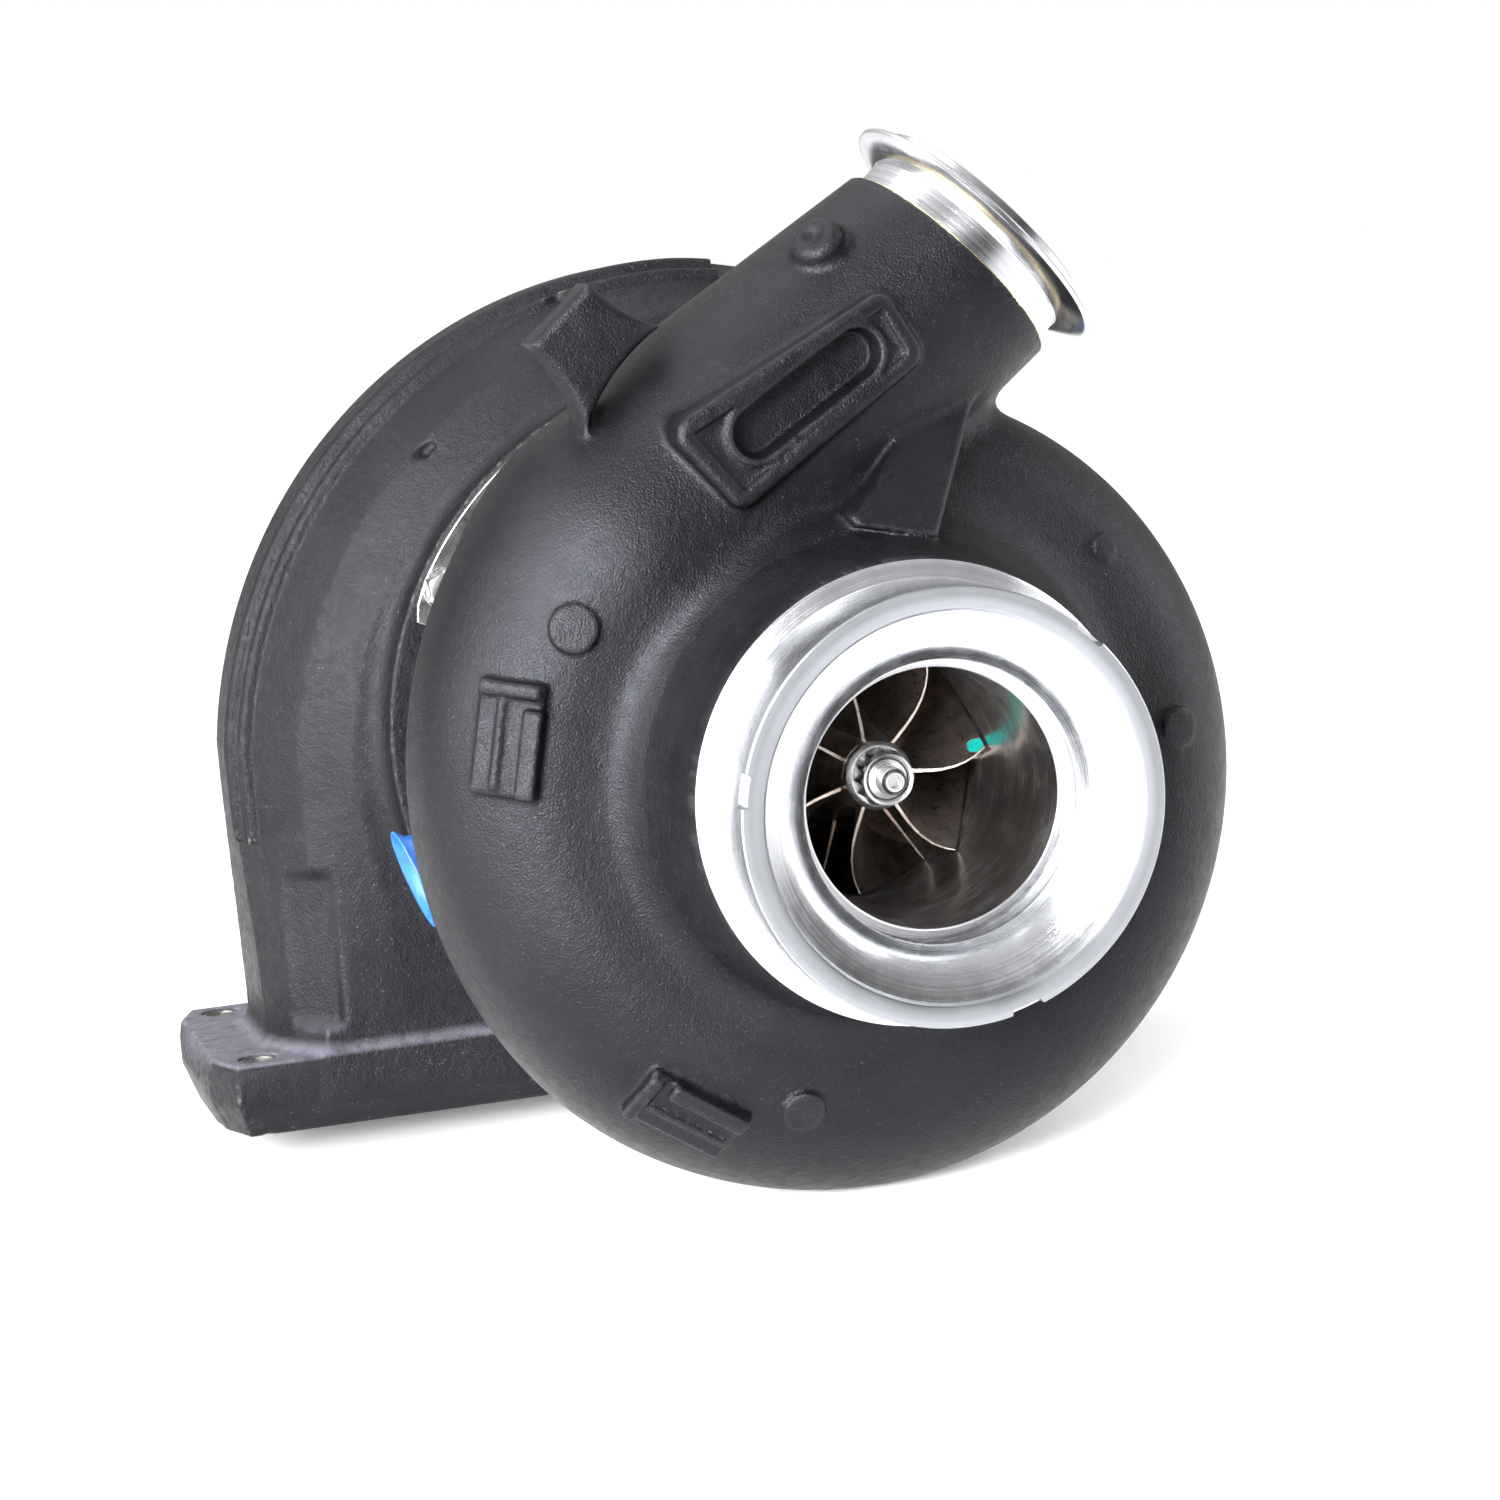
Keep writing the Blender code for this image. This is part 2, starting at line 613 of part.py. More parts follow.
def turbine_housing(finish, datum):
    front, back = BEARING_FLANGE_Y, OVERALL_LENGTH
    seat = front + BEARING_FLANGE_THICKNESS + GAP
    throat = TURBINE_BACK_Y + 4.5
    shroud = TURBINE_WHEEL_RADIUS + 0.8
    outside = [
        (0, front), (117, front), (117, 248), (100, 256), (100, 336),
        (OUTLET_FLANGE_RADIUS - 4, 348), (OUTLET_FLANGE_RADIUS - 4, 353),
        (OUTLET_FLANGE_RADIUS, 355), (OUTLET_FLANGE_RADIUS, back), (0, back),
    ]
    housing = place("turbine_housing", turned(outside, CASTING_STEPS), finish, datum)
    outer = turbine_rings(blended(DUCT_SECTION, SCROLL_SECTION), 0, -SHAFT_HEIGHT + 10)
    join(housing, loft(outer), "scroll", coiled=True)
    foot = loft([
        [(x - FOOT_OFFSET, y + TURBINE_PLANE, z) for x, y in foot_outline()]
        for z in (-SHAFT_HEIGHT, -SHAFT_HEIGHT + FOOT_THICKNESS)
    ])
    join(housing, foot, "foot")
    bore = [
        (0, front - 5), (BEARING_FLANGE_RADIUS + GAP, front - 5),
        (BEARING_FLANGE_RADIUS + GAP, seat), (66, seat), (66, 279), (50, 280), (50, throat),
        (74, throat), (74, throat + TURBINE_THROAT), (shroud, throat + TURBINE_THROAT),
        (45, 308), (42, 315), (41.8, 326), (46, 336), (EXHAUST_BORE, back),
        (EXHAUST_BORE, back + 5), (0, back + 5),
    ]
    inset = TURBINE_WALL
    for side, name in ((-1, "front_passage"), (1, "rear_passage")):
        scroll_share = [
            (0.06, PORT_WEB), (0.06, 44), (0.55, 47), (0.86, 28), (1.0, 8), (1.0, PORT_WEB),
        ]
        duct_share = [
            (0.0, PORT_WEB), (0.0, 41), (0.55, 41), (0.88, 41), (1.0, 18), (1.0, PORT_WEB),
        ]
        scroll_share = [(share, side * y) for share, y in scroll_share]
        duct_share = [(share, side * y) for share, y in duct_share]
        rings = turbine_rings(blended(duct_share, scroll_share), inset, -SHAFT_HEIGHT - 5)
        cut(housing, loft(rings), name, coiled=True)
    cut(housing, turned(bore, CASTING_STEPS), "bore")
    holes = []
    for across in (-FOOT_HOLE_X, FOOT_HOLE_X):
        for along in (-FOOT_HOLE_Y, FOOT_HOLE_Y):
            x, y = across - FOOT_OFFSET, along + TURBINE_PLANE
            holes.append(bar((x, y, -SHAFT_HEIGHT - 5), (x, y, -60), FOOT_HOLE_RADIUS, 12))
    cut(housing, merged(*holes), "stud_holes")
    bolts = [
        flange_bar(angle, front - 4, front + 13, BOLT_HOLE_RADIUS) for angle in bolt_angles()
    ]
    cut(housing, merged(*bolts), "bolt_holes")
    return housing


def plate_angles():
    """Middle of each clamp plate around the flange."""
    return [138 + 360 * i / CLAMP_PLATES for i in range(CLAMP_PLATES)]


def bolt_angles():
    return [middle + side for middle in plate_angles() for side in (-BOLT_SPREAD, BOLT_SPREAD)]


def flange_bar(angle, low, high, radius, sides=10):
    """A bar along the shaft on the bolt circle."""
    return bar(polar(BOLT_CIRCLE, angle, low), polar(BOLT_CIRCLE, angle, high), radius, sides)


def flange_clamps(plate_steel, bolt_steel, datum):
    """Arc-shaped plates, each with two bolts, that hold the bearing housing in the turbine housing."""
    low, high = BEARING_FLANGE_Y - 3.4, BEARING_FLANGE_Y - GAP
    section = [(97, low), (116, low), (116, high), (97, high)]
    for index, middle in enumerate(plate_angles(), 1):
        steps = 4
        rings = []
        for i in range(steps + 1):
            angle = middle + PLATE_HALF_ANGLE * (2 * i / steps - 1)
            rings.append([polar(radius, angle, y) for radius, y in section])
        plate = place(f"clamp_plate_{index}", loft(rings), plate_steel, datum)
        holes = [
            flange_bar(middle + side, low - 3, high + 3, BOLT_HOLE_RADIUS)
            for side in (-BOLT_SPREAD, BOLT_SPREAD)
        ]
        cut(plate, merged(*holes), "bolt_holes")
    head_top = low - GAP
    for index, angle in enumerate(bolt_angles(), 1):
        shank = flange_bar(angle, head_top - 1, 241, 4.0)
        bolt = place(f"flange_bolt_{index}", shank, bolt_steel, datum)
        join(bolt, flange_bar(angle, head_top - 6, head_top, 7.2, 6), "head")


# Assembly


def empty(name, location, parent=None):
    made = bpy.data.objects.new(name, None)
    bpy.context.scene.collection.objects.link(made)
    made.parent = parent
    made.location = Vector(location)
    return made


def main():
    for old in list(bpy.data.objects):
        bpy.data.objects.remove(old)
    black_paint = material("black_paint", (0.018, 0.018, 0.021), 0.0, 0.45)
    scorched_iron = material("turbine_coating", (0.022, 0.022, 0.024), 0.0, 0.6)
    bare_iron = material("bare_cast_iron", (0.55, 0.53, 0.50), 0.6, 0.55)
    machined = material("machined_aluminium", (0.80, 0.81, 0.83), 1.0, 0.25)
    milled = material("milled_aluminium", (0.62, 0.58, 0.53), 1.0, 0.30)
    steel = material("bright_steel", (0.60, 0.60, 0.61), 1.0, 0.32)
    alloy = material("turbine_alloy", (0.36, 0.34, 0.32), 1.0, 0.45)
    bronze = material("bearing_bronze", (0.60, 0.42, 0.20), 1.0, 0.35)
    blue = material("blue_plastic", (0.05, 0.20, 0.75), 0.0, 0.35)
    rubber = material("seal_rubber", (0.02, 0.02, 0.02), 0.0, 0.7)

    datum = empty("datum", (FOOT_OFFSET * MM, -TURBINE_PLANE * MM, SHAFT_HEIGHT * MM))
    spin = empty("rotor_axis", (0, 0, 0), datum)

    compressor_housing(black_paint, datum)
    inlet_insert(machined, datum)
    compressor_backplate(machined, datum)
    seal_rings(rubber, steel, datum)
    clamp_band(steel, steel, datum)
    bearing_housing(bare_iron, datum)
    bearing_parts(bronze, steel, datum)
    heat_shield(steel, datum)
    turbine_housing(scorched_iron, datum)
    flange_clamps(steel, steel, datum)

    compressor_wheel(milled, spin)
    turbine_wheel(alloy, spin)
    rotor_fittings(steel, spin)
    for name, y in (
        ("front_journal_bearing", FRONT_JOURNAL_Y), ("rear_journal_bearing", REAR_JOURNAL_Y),
    ):
        journal_bearing(name, y, bronze, empty(f"{name}_axis", (0, 0, 0), datum))
    for name, angle, hole, rim in (
        ("oil_drain_cap", DRAIN_ANGLE, DRAIN_RADIUS, 19),
        ("oil_feed_cap", FEED_ANGLE, FEED_RADIUS, 12),
    ):
        oil_cap(name, angle, hole, rim, blue, empty(f"{name}_slide", (0, 0, 0), datum))


main()
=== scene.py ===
"""The looks of a heavy diesel engine's exhaust turbocharger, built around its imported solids.

Shapes are laid out in millimetres around the shaft axis: x is across, y is the distance behind the
compressor inlet's face and z is up. Castings are skins over distance fields, so that their bosses,
ribs and ducts run into each other with real fillets. Turned parts are spun profiles.
"""

import math

import bmesh
import bpy
import numpy as np
from mathutils import Matrix, Vector


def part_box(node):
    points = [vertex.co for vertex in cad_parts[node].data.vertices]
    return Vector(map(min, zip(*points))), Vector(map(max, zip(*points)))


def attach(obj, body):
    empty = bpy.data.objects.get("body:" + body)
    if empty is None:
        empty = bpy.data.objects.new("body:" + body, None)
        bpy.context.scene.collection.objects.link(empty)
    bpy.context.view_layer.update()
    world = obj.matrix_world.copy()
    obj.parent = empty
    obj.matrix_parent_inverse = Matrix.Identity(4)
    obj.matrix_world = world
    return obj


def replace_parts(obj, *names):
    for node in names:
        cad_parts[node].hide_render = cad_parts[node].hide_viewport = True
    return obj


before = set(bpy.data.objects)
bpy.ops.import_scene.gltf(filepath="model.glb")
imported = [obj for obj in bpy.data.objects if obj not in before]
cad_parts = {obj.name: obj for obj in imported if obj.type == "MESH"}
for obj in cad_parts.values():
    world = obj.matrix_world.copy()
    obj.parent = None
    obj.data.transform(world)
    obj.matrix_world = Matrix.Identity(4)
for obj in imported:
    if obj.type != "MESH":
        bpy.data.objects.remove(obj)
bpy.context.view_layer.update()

MM = 0.001
NUT_LOW, NUT_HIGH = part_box("shaft_nut")
HOUSING_LOW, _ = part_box("compressor_housing")
FLOOR_Z = HOUSING_LOW.z
DATUM = Vector(((NUT_LOW.x + NUT_HIGH.x) / 2, HOUSING_LOW.y, (NUT_LOW.z + NUT_HIGH.z) / 2))

# Driving dimensions, in millimetres
TURBINE_PLANE = 296.0
COMPRESSOR_PLANE = 122.0
SCROLL_RADIUS = 88.0
TONGUE_ANGLE = 70.0
PIPE_ANGLE = 132.0
PIPE_LENGTH = 134.7
PIPE_END_OFFSET = 76.4
OUTLET_BORE = 34.0
SHOULDER_RADIUS = 68.0
PAINT_START = 30.8  # where the paint begins, behind the turned shoulder
SHROUD_Y = 128.0
FOOT_OFFSET = 105.0
FOOT_Z = -125.0
FOOT_THICKNESS = 25.0
SCROLL_INNER = 60.0
PORT_Y = 208.0
PAD_REACH = 100.0
DRAIN_ANGLE = 198.0
FEED_ANGLE = 18.0
FLANGE_Y = 230.0
BOLT_CIRCLE = 109.0
FOOT_HOLES = ((-62, -41.5), (-62, 41.5), (62, -41.5), (62, 41.5))

Y, Z = Vector((0, 1, 0)), Vector((0, 0, 1))


# Distance fields: arrays of distances, negative inside, in millimetres


def eased(value):
    value = np.clip(value, 0.0, 1.0)
    return value * value * (3 - 2 * value)


def blend(a, b, reach):
    """Joins two shapes with a fillet."""
    share = np.clip(0.5 + 0.5 * (b - a) / reach, 0, 1)
    return b + (a - b) * share - reach * share * (1 - share)


def carve(a, b, reach=0.6):
    """Cuts shape b from shape a, with a rounded lip."""
    return -blend(-a, b, reach)


def corner(a, b, rounding):
    """What lies inside both shapes, with their shared edge rounded."""
    a, b = a + rounding, b + rounding
    return np.minimum(np.maximum(a, b), 0) + np.hypot(np.maximum(a, 0), np.maximum(b, 0)) - rounding


def slab(values, low, high):
    return np.abs(values - (low + high) / 2) - (high - low) / 2


def polygon(u, v, corners):
    """Distance to a closed outline. Its corners may differ from point to point."""
    nearest = np.full(u.shape, 1e9)
    sign = np.ones(u.shape)
    for (ax, ay), (bx, by) in zip(corners, corners[1:] + corners[:1]):
        ex, ey = bx - ax, by - ay
        wx, wy = u - ax, v - ay
        t = np.clip((wx * ex + wy * ey) / (ex * ex + ey * ey), 0, 1)
        nearest = np.minimum(nearest, (wx - ex * t) ** 2 + (wy - ey * t) ** 2)
        above, below, left = v >= ay, v < by, ex * wy > ey * wx
        sign = np.where((above & below & left) | ~(above | below | left), -sign, sign)
    return sign * np.sqrt(nearest)


def round_bar(p, start, end, radius):
    """Distances to the flat ends and to the round wall of a bar between two points."""
    start, end = np.array(start), np.array(end)
    length = np.linalg.norm(end - start)
    axis = (end - start) / length
    along = (p - start) @ axis
    across = np.linalg.norm(p - start - along[:, None] * axis, axis=1)
    return slab(along, 0, length), across - radius


def local_add(made, p, centre, reach, shape, joiner, fillet):
    """Works a small feature into a field, evaluating only the points near it."""
    near = np.linalg.norm(p - np.array(centre), axis=1) < reach
    if near.any():
        made[near] = joiner(made[near], shape(p[near]), fillet)
    return made


# Layout of the compressor scroll and its outlet pipe


def polar(radius, angle, y=0.0):
    turn = math.radians(angle)
    return Vector((radius * math.cos(turn), y, radius * math.sin(turn)))


FLOW = Vector((math.sin(math.radians(PIPE_ANGLE)), 0, -math.cos(math.radians(PIPE_ANGLE))))
SIDE = polar(1, PIPE_ANGLE)


def pipe_point(along, across, y=0.0):
    return FLOW * along + SIDE * across + Y * y


MOUTH = pipe_point(PIPE_LENGTH, PIPE_END_OFFSET, COMPRESSOR_PLANE)


def scroll_radius(angle):
    """Outer radius of the scroll's section, growing from the tongue to the outlet."""
    slim = 48.5 - 16.5 * (np.maximum(angle + 90, 0) / 140) ** 1.6
    full = 48.5 - 4.0 * eased((-angle - 120) / 60) + 1.5 * eased((-angle - 185) / 43)
    return np.where(angle > -90, slim, full)


def scroll_angle(p):
    angle = np.degrees(np.arctan2(p[:, 2], p[:, 0]))
    middle_of_gap = (TONGUE_ANGLE + PIPE_ANGLE) / 2
    angle = np.where(angle > middle_of_gap, angle - 360, angle)
    return np.clip(angle, PIPE_ANGLE - 360, TONGUE_ANGLE)


def tube(p, angle, centre, radius):
    """A tube that follows the scroll, with round ends."""
    turn = np.radians(angle)
    dx = p[:, 0] - centre * np.cos(turn)
    dz = p[:, 2] - centre * np.sin(turn)
    return np.sqrt(dx * dx + (p[:, 1] - COMPRESSOR_PLANE) ** 2 + dz * dz) - radius


def outlet_pipe(p, radii, offsets, reach):
    """A tapered pipe along the outlet, round at its root and cut square at its mouth."""
    stations = (0, 60, PIPE_LENGTH)
    along, across = pipe_plane(p)
    across = across - np.interp(along, stations, offsets)
    wall = np.sqrt(across ** 2 + (p[:, 1] - COMPRESSOR_PLANE) ** 2 + np.minimum(along, 0) ** 2)
    return corner(wall - np.interp(along, stations, radii), along - reach, 0.7)


def on_scroll(angle, tilt):
    """A point on the scroll's skin, with the skin's normal and the direction round the scroll."""
    out = polar(1, angle) * math.cos(math.radians(tilt)) - Y * math.sin(math.radians(tilt))
    centre = polar(SCROLL_RADIUS, angle, COMPRESSOR_PLANE)
    size = float(scroll_radius(np.array(angle if angle < PIPE_ANGLE else angle - 360)))
    return centre + out * size, out, polar(1, angle + 90)


# Compressor casting

CASTING_PROFILE = [
    (30, PAINT_START), (SHOULDER_RADIUS, PAINT_START), (68.4, 40), (69.8, 54), (73.2, 67),
    (80, 78), (100, 96), (100, 146), (76.5, 168), (76.5, 172.5), (82, 174.5), (82, 178.6),
    (30, 178.6),
]
BORE_PROFILE = [
    (-5, 20), (38.7, 20), (38.7, 84), (40, 94), (42.3, 106), (48, 119), (57, SHROUD_Y - 0.8),
    (68.5, SHROUD_Y - 0.8), (68.5, 134), (60.8, 134), (60.8, 152), (67, 172), (67, 190), (-5, 190),
]
CASTING_FILLET = 9
PIPE_RADII, PIPE_OFFSETS = (46, 44, 39.3), (88, 86, PIPE_END_OFFSET)
BORE_OFFSETS = (90, 86, PIPE_END_OFFSET)
CLIP_BOSSES = ((168.5, 59), (-123.8, 54))
ROUND_BOSSES = ((148.8, 71.8, 7.4), (35.2, 67.3, 4.3), (0.9, 71.2, 6.4), (-106.7, 70.9, 6.6))
PIPE_PAD = ((30.5, 118.5), (108, 97), (102, 72.5), (28, 84.5))
PIPE_SLOT = ((49, 97.2), (87, 90))
SLOT_HALF_WIDTH = 7.4
PAD_FRONT = 71.5
PAD_LEAN = 0.08
LIFTING_TAB = ((50, 160), (24.2, 160.5), (17.5, 130), (56, 134.5))
TAB_SAGS = (0.5, 2.0, 3.0, 1.8)
WEB_TOE = (20.2, 59.5, 70.4)
WEB_NORMAL = (0.066, -0.754, 0.654)
WEB_OUTLINE = [
    (20.2, 70.4), (44.6, 105.5), (54, 122), (30, 124), (16, 97), (5, 85.5), (-4.8, 78.4),
    (-3.4, 75.6),
]


def inward_sides(corners):
    """The sides of a convex outline, each with its normal to the inside."""
    centre = sum((Vector(c) for c in corners), Vector((0, 0))) / len(corners)
    for first, second in zip(corners, corners[1:] + corners[:1]):
        first, second = Vector(first), Vector(second)
        normal = (second - first).normalized().orthogonal()
        yield first, second, -normal if normal.dot(centre - first) < 0 else normal


def arched(corners, sags, steps=8):
    """An outline whose sides bow inwards, each by its own sag."""
    points = []
    for (first, second, normal), sag in zip(inward_sides(corners), sags):
        for t in (i / steps for i in range(steps)):
            points.append(tuple(first.lerp(second, t) + normal * (4 * sag * t * (1 - t))))
    return points


def inset(corners, by):
    """A convex outline with each side moved inwards."""
    lines = [(first + n * by, second + n * by) for first, second, n in inward_sides(corners)]
    return [tuple(crossing(before, here)) for before, here in zip(lines[-1:] + lines, lines)]


def crossing(first, second):
    """Where two lines cross."""
    run, other = first[1] - first[0], second[1] - second[0]
    t = (second[0] - first[0]).cross(other) / run.cross(other)
    return first[0] + run * t


def pipe_plane(p):
    """Coordinates along and across the outlet pipe."""
    return p @ np.array(FLOW), p @ np.array(SIDE)


def disc_boss(place, normal, radius, height):
    """A flat round boss that rises along a normal."""
    def shape(p):
        ends, wall = round_bar(p, place - normal * 9, place + normal * height, radius)
        return corner(wall, ends, 0.7)
    return shape


def ball(place, size):
    return lambda p: np.linalg.norm(p - np.array(place), axis=1) - size


def block(place, axes, low, high, rounding):
    """A rounded block along three axes, from the low to the high corner."""
    def shape(p):
        spot = p - np.array(place)
        walls = [slab(spot @ np.array(axis), a, b) for axis, a, b in zip(axes, low, high)]
        return corner(corner(walls[0], walls[1], rounding), walls[2], rounding)
    return shape


def clip_boss(made, p, angle, tilt):
    """A cast pad with a ridge across its head, a rib down its middle and a bar along one side."""
    place, normal, round_scroll = on_scroll(angle, tilt)
    width = normal.cross(-round_scroll)
    if width.y > 0:
        width = -width
    axes = (-round_scroll, width, normal)
    for low, high, rounding, fillet in (
        ((-17, -10, -9), (17, 10, 1.6), 1.2, 1.6),
        ((12.5, -10, -9), (17, 9, 3.6), 1.4, 1.0),
        ((-15, -3.8, -9), (12, -1.2, 3.0), 1.0, 1.0),
        ((-17, 4.6, -9), (9.5, 10.6, 4.4), 1.2, 1.0),
    ):
        made = local_add(made, p, place, 32, block(place, axes, low, high, rounding), blend, fillet)
    return made


def slot_distance(along, across):
    """Distance from the line down the middle of the pad's slot."""
    start, end = np.array(PIPE_SLOT[0]), np.array(PIPE_SLOT[1])
    line = end - start
    spot = np.stack([along, across], axis=1) - start
    t = np.clip(spot @ line / (line @ line), 0, 1)
    return np.linalg.norm(spot - t[:, None] * line, axis=1)


def pad_depth(p):
    """Depth behind the pad's face, which leans back towards the pipe's mouth."""
    along, _ = pipe_plane(p)
    return p[:, 1] - PAD_FRONT - PAD_LEAN * (along - 30)


def slot_space(p):
    """The room that the pad's slot takes, through the pad and into the pipe's wall."""
    slot = slot_distance(*pipe_plane(p))
    return corner(slot - SLOT_HALF_WIDTH, slab(pad_depth(p), -15, 9.5), 1.4)


def pad_on_pipe(p):
    """The pad on the pipe's front: a plate with a sunk panel and a slot with a raised lip."""
    along, across = pipe_plane(p)
    depth = pad_depth(p)
    outline = polygon(along, across, inset(list(PIPE_PAD), 6)) - 6
    plate = corner(outline + 0.2, slab(depth, 0, 30), 2.4)
    plate = carve(plate, corner(outline + 5.4, slab(depth, -9, 1.5), 0.6), 0.9)
    lip_line = np.abs(slot_distance(along, across) - SLOT_HALF_WIDTH - 1.3)
    plate = blend(plate, corner(lip_line - 1.3, slab(depth, 0.3, 12), 1.1), 0.8)
    return carve(plate, slot_space(p), 0.8)


def lifting_tab(p):
    along, across = pipe_plane(p)
    outline = polygon(along, across, arched(LIFTING_TAB, TAB_SAGS))
    return corner(outline + 0.2, slab(p[:, 1], 97.6, 113), 2.4)


def tongue_web(p):
    """The web between the outlet pipe and the start of the scroll, with a sloping face."""
    outline = polygon(p[:, 0], p[:, 2], WEB_OUTLINE)
    face = (p - np.array(WEB_TOE)) @ np.array(WEB_NORMAL)
    return corner(corner(outline, face, 1.6), p[:, 1] - COMPRESSOR_PLANE, 1.0)


def side_boss(p):
    """A domed boss on the pipe's upper side, with a dimple in its end."""
    ends, wall = round_bar(p, pipe_point(106, 104, 107), pipe_point(107, 119.4, 96.5), 8.2)
    return carve(corner(wall, ends, 3.4), ball(pipe_point(107, 122, 95), 4.4)(p), 1.0)


def compressor_casting_field(p):
    radius = np.hypot(p[:, 0], p[:, 2])
    angle = scroll_angle(p)
    outer = scroll_radius(angle)
    body, scroll = polygon(radius, p[:, 1], CASTING_PROFILE), tube(p, angle, SCROLL_RADIUS, outer)
    made = blend(body, scroll, CASTING_FILLET)
    made = blend(made, outlet_pipe(p, PIPE_RADII, PIPE_OFFSETS, PIPE_LENGTH), CASTING_FILLET)
    pad_middle = pipe_point(69, 92, 84)
    for centre, reach, shape, joiner, fillet in (
        (pipe_point(38, 142, 104), 48, lifting_tab, blend, 5),
        ((24, 90, 96), 56, tongue_web, blend, 2.6),
        (pipe_point(104, 118, 104), 30, side_boss, blend, 3.5),
        (pad_middle, 60, slot_space, carve, 0.8),
        (pad_middle, 60, pad_on_pipe, blend, 2.4),
    ):
        made = local_add(made, p, centre, reach, shape, joiner, fillet)
    for boss_angle, tilt, size in ROUND_BOSSES:
        place, normal, _ = on_scroll(boss_angle, tilt)
        made = local_add(made, p, place, 20, disc_boss(place, normal, size, 1.5), blend, 0.9)
    for boss_angle, tilt in CLIP_BOSSES:
        made = clip_boss(made, p, boss_angle, tilt)
    width = (outer + 20) / 2
    made = carve(made, tube(p, angle, 62 + width, width), 1.0)
    bore = outlet_pipe(p, (OUTLET_BORE,) * 3, BORE_OFFSETS, PIPE_LENGTH + 9)
    made = carve(made, bore, 0.5)
    return carve(made, polygon(radius, p[:, 1], BORE_PROFILE), 0.5)


# Turbine casting

SCROLL_SECTION = (
    (0.0, -50), (0.50, -57), (0.66, -54), (0.82, -43), (0.94, -26), (1.0, -12), (1.0, 12),
    (0.94, 28), (0.82, 42), (0.62, 53), (0.30, 56), (0.0, 52),
)
DUCT_SECTION = (
    (0.0, -40), (0.12, -49), (0.60, -49), (0.86, -49), (0.94, -36), (1.0, -20), (1.0, 20),
    (0.94, 36), (0.86, 49), (0.60, 49), (0.12, 49), (0.0, 40),
)
SCROLL_PORT = ((0.06, 4), (0.06, 44), (0.55, 47), (0.86, 28), (1.0, 8), (1.0, 4))
DUCT_PORT = ((0.0, 4), (0.0, 41), (0.55, 41), (0.88, 41), (1.0, 18), (1.0, 4))
TURBINE_PROFILE = [
    (51.2, 231.2), (115.8, 231.2), (115.8, 246.3), (98.8, 255.2), (98.8, 335.2), (60.8, 347.2),
    (60.8, 353.6), (64.8, 356), (64.8, 358.8), (51.2, 358.8),
]
TURBINE_EDGE = 1.2
TURBINE_BORE = [
    (-5, 225), (104.3, 225), (104.3, 237.3), (66, 237.3), (66, 279), (50, 280), (50, 285.5),
    (74, 285.5), (74, 301.5), (47.8, 301.5), (45, 308), (42, 315), (41.8, 326), (46, 336),
    (54, 360), (54, 370), (-5, 370),
]
LAST_TRAVEL = 336.0
CASTING_MARKS = ((-93.1, 251.4, 96.2), (-39.2, 270.3, 142.1))
MARK_DENTS = ((0, 0, 2.4), (2.6, 1.4, 1.6), (-2.4, -0.6, 1.8), (-0.6, 3.2, 1.3))
RIM_RIDGES = ((1.2, 281.5, 2.8), (4.3, 272.5, 2.6))
DUCT_RECESS = (-147, 252, -66)


def turbine_outer(travel):
    """Outer radius of the scroll by degrees travelled clockwise from the inlet side."""
    start = 150 + 13 * (1 - np.clip(travel, 0, 90) / 90) ** 2.2
    rest = 150 - 50 * (np.maximum(travel - 90, 0) / 250) ** 1.3
    return np.where(travel <= 90, start, rest)


def mirrored(section, side):
    return [(share, side * y) for share, y in section]


def duct_walls(z):
    rise = eased((z + 100) / 100)
    return -(48 + 12 * rise), -(160 + 3 * rise), rise


def turbine_passage(p, travel, duct_shape, scroll_shape, inset):
    """The duct and the scroll, or a passage inside them at an inset."""
    radius = np.hypot(p[:, 0], p[:, 2])
    y = p[:, 1] - TURBINE_PLANE
    inner = SCROLL_INNER + inset
    outer = turbine_outer(travel) - inset
    corners = [(inner + share * (outer - inner), v) for share, v in scroll_shape]
    made = polygon(radius, y, corners)
    past = np.minimum(travel - LAST_TRAVEL, 360 - travel)
    gap = radius * np.sin(np.radians(np.maximum(past, 0)))
    scroll = np.where(past > 0, np.hypot(np.maximum(made, 0), gap) + 0.01, made)
    low, high, rise = duct_walls(p[:, 2])
    low, high = -low + inset, -high - inset
    corners = []
    for (share, v), (scroll_share, scroll_v) in zip(duct_shape, scroll_shape):
        share = share + (scroll_share - share) * rise
        corners.append((low + share * (high - low), v + (scroll_v - v) * rise))
    duct = polygon(-p[:, 0], y, corners)
    duct = np.maximum(duct, slab(p[:, 2], FOOT_Z + 10 - inset * 3, 0.01))
    return np.minimum(scroll, duct)


def rim_distance(p, travel, back, y):
    """Distance to a line that follows the scroll's outer edge and runs down the duct."""
    radius = np.hypot(p[:, 0], p[:, 2])
    on_duct = (p[:, 2] < 0) & (p[:, 0] < 0)
    _, outer_x, _ = duct_walls(p[:, 2])
    across = np.where(on_duct, -p[:, 0] + outer_x, radius - turbine_outer(travel))
    return np.hypot(across + back, p[:, 1] - y)


def foot_outline():
    corner_points = [(80, 12), (78, 34), (71, 53)]
    outline = []
    for x_side, y_side in ((1, 1), (-1, 1), (-1, -1), (1, -1)):
        points = [(x * x_side, y * y_side) for x, y in corner_points]
        outline += points if x_side == y_side else points[::-1]
    return outline


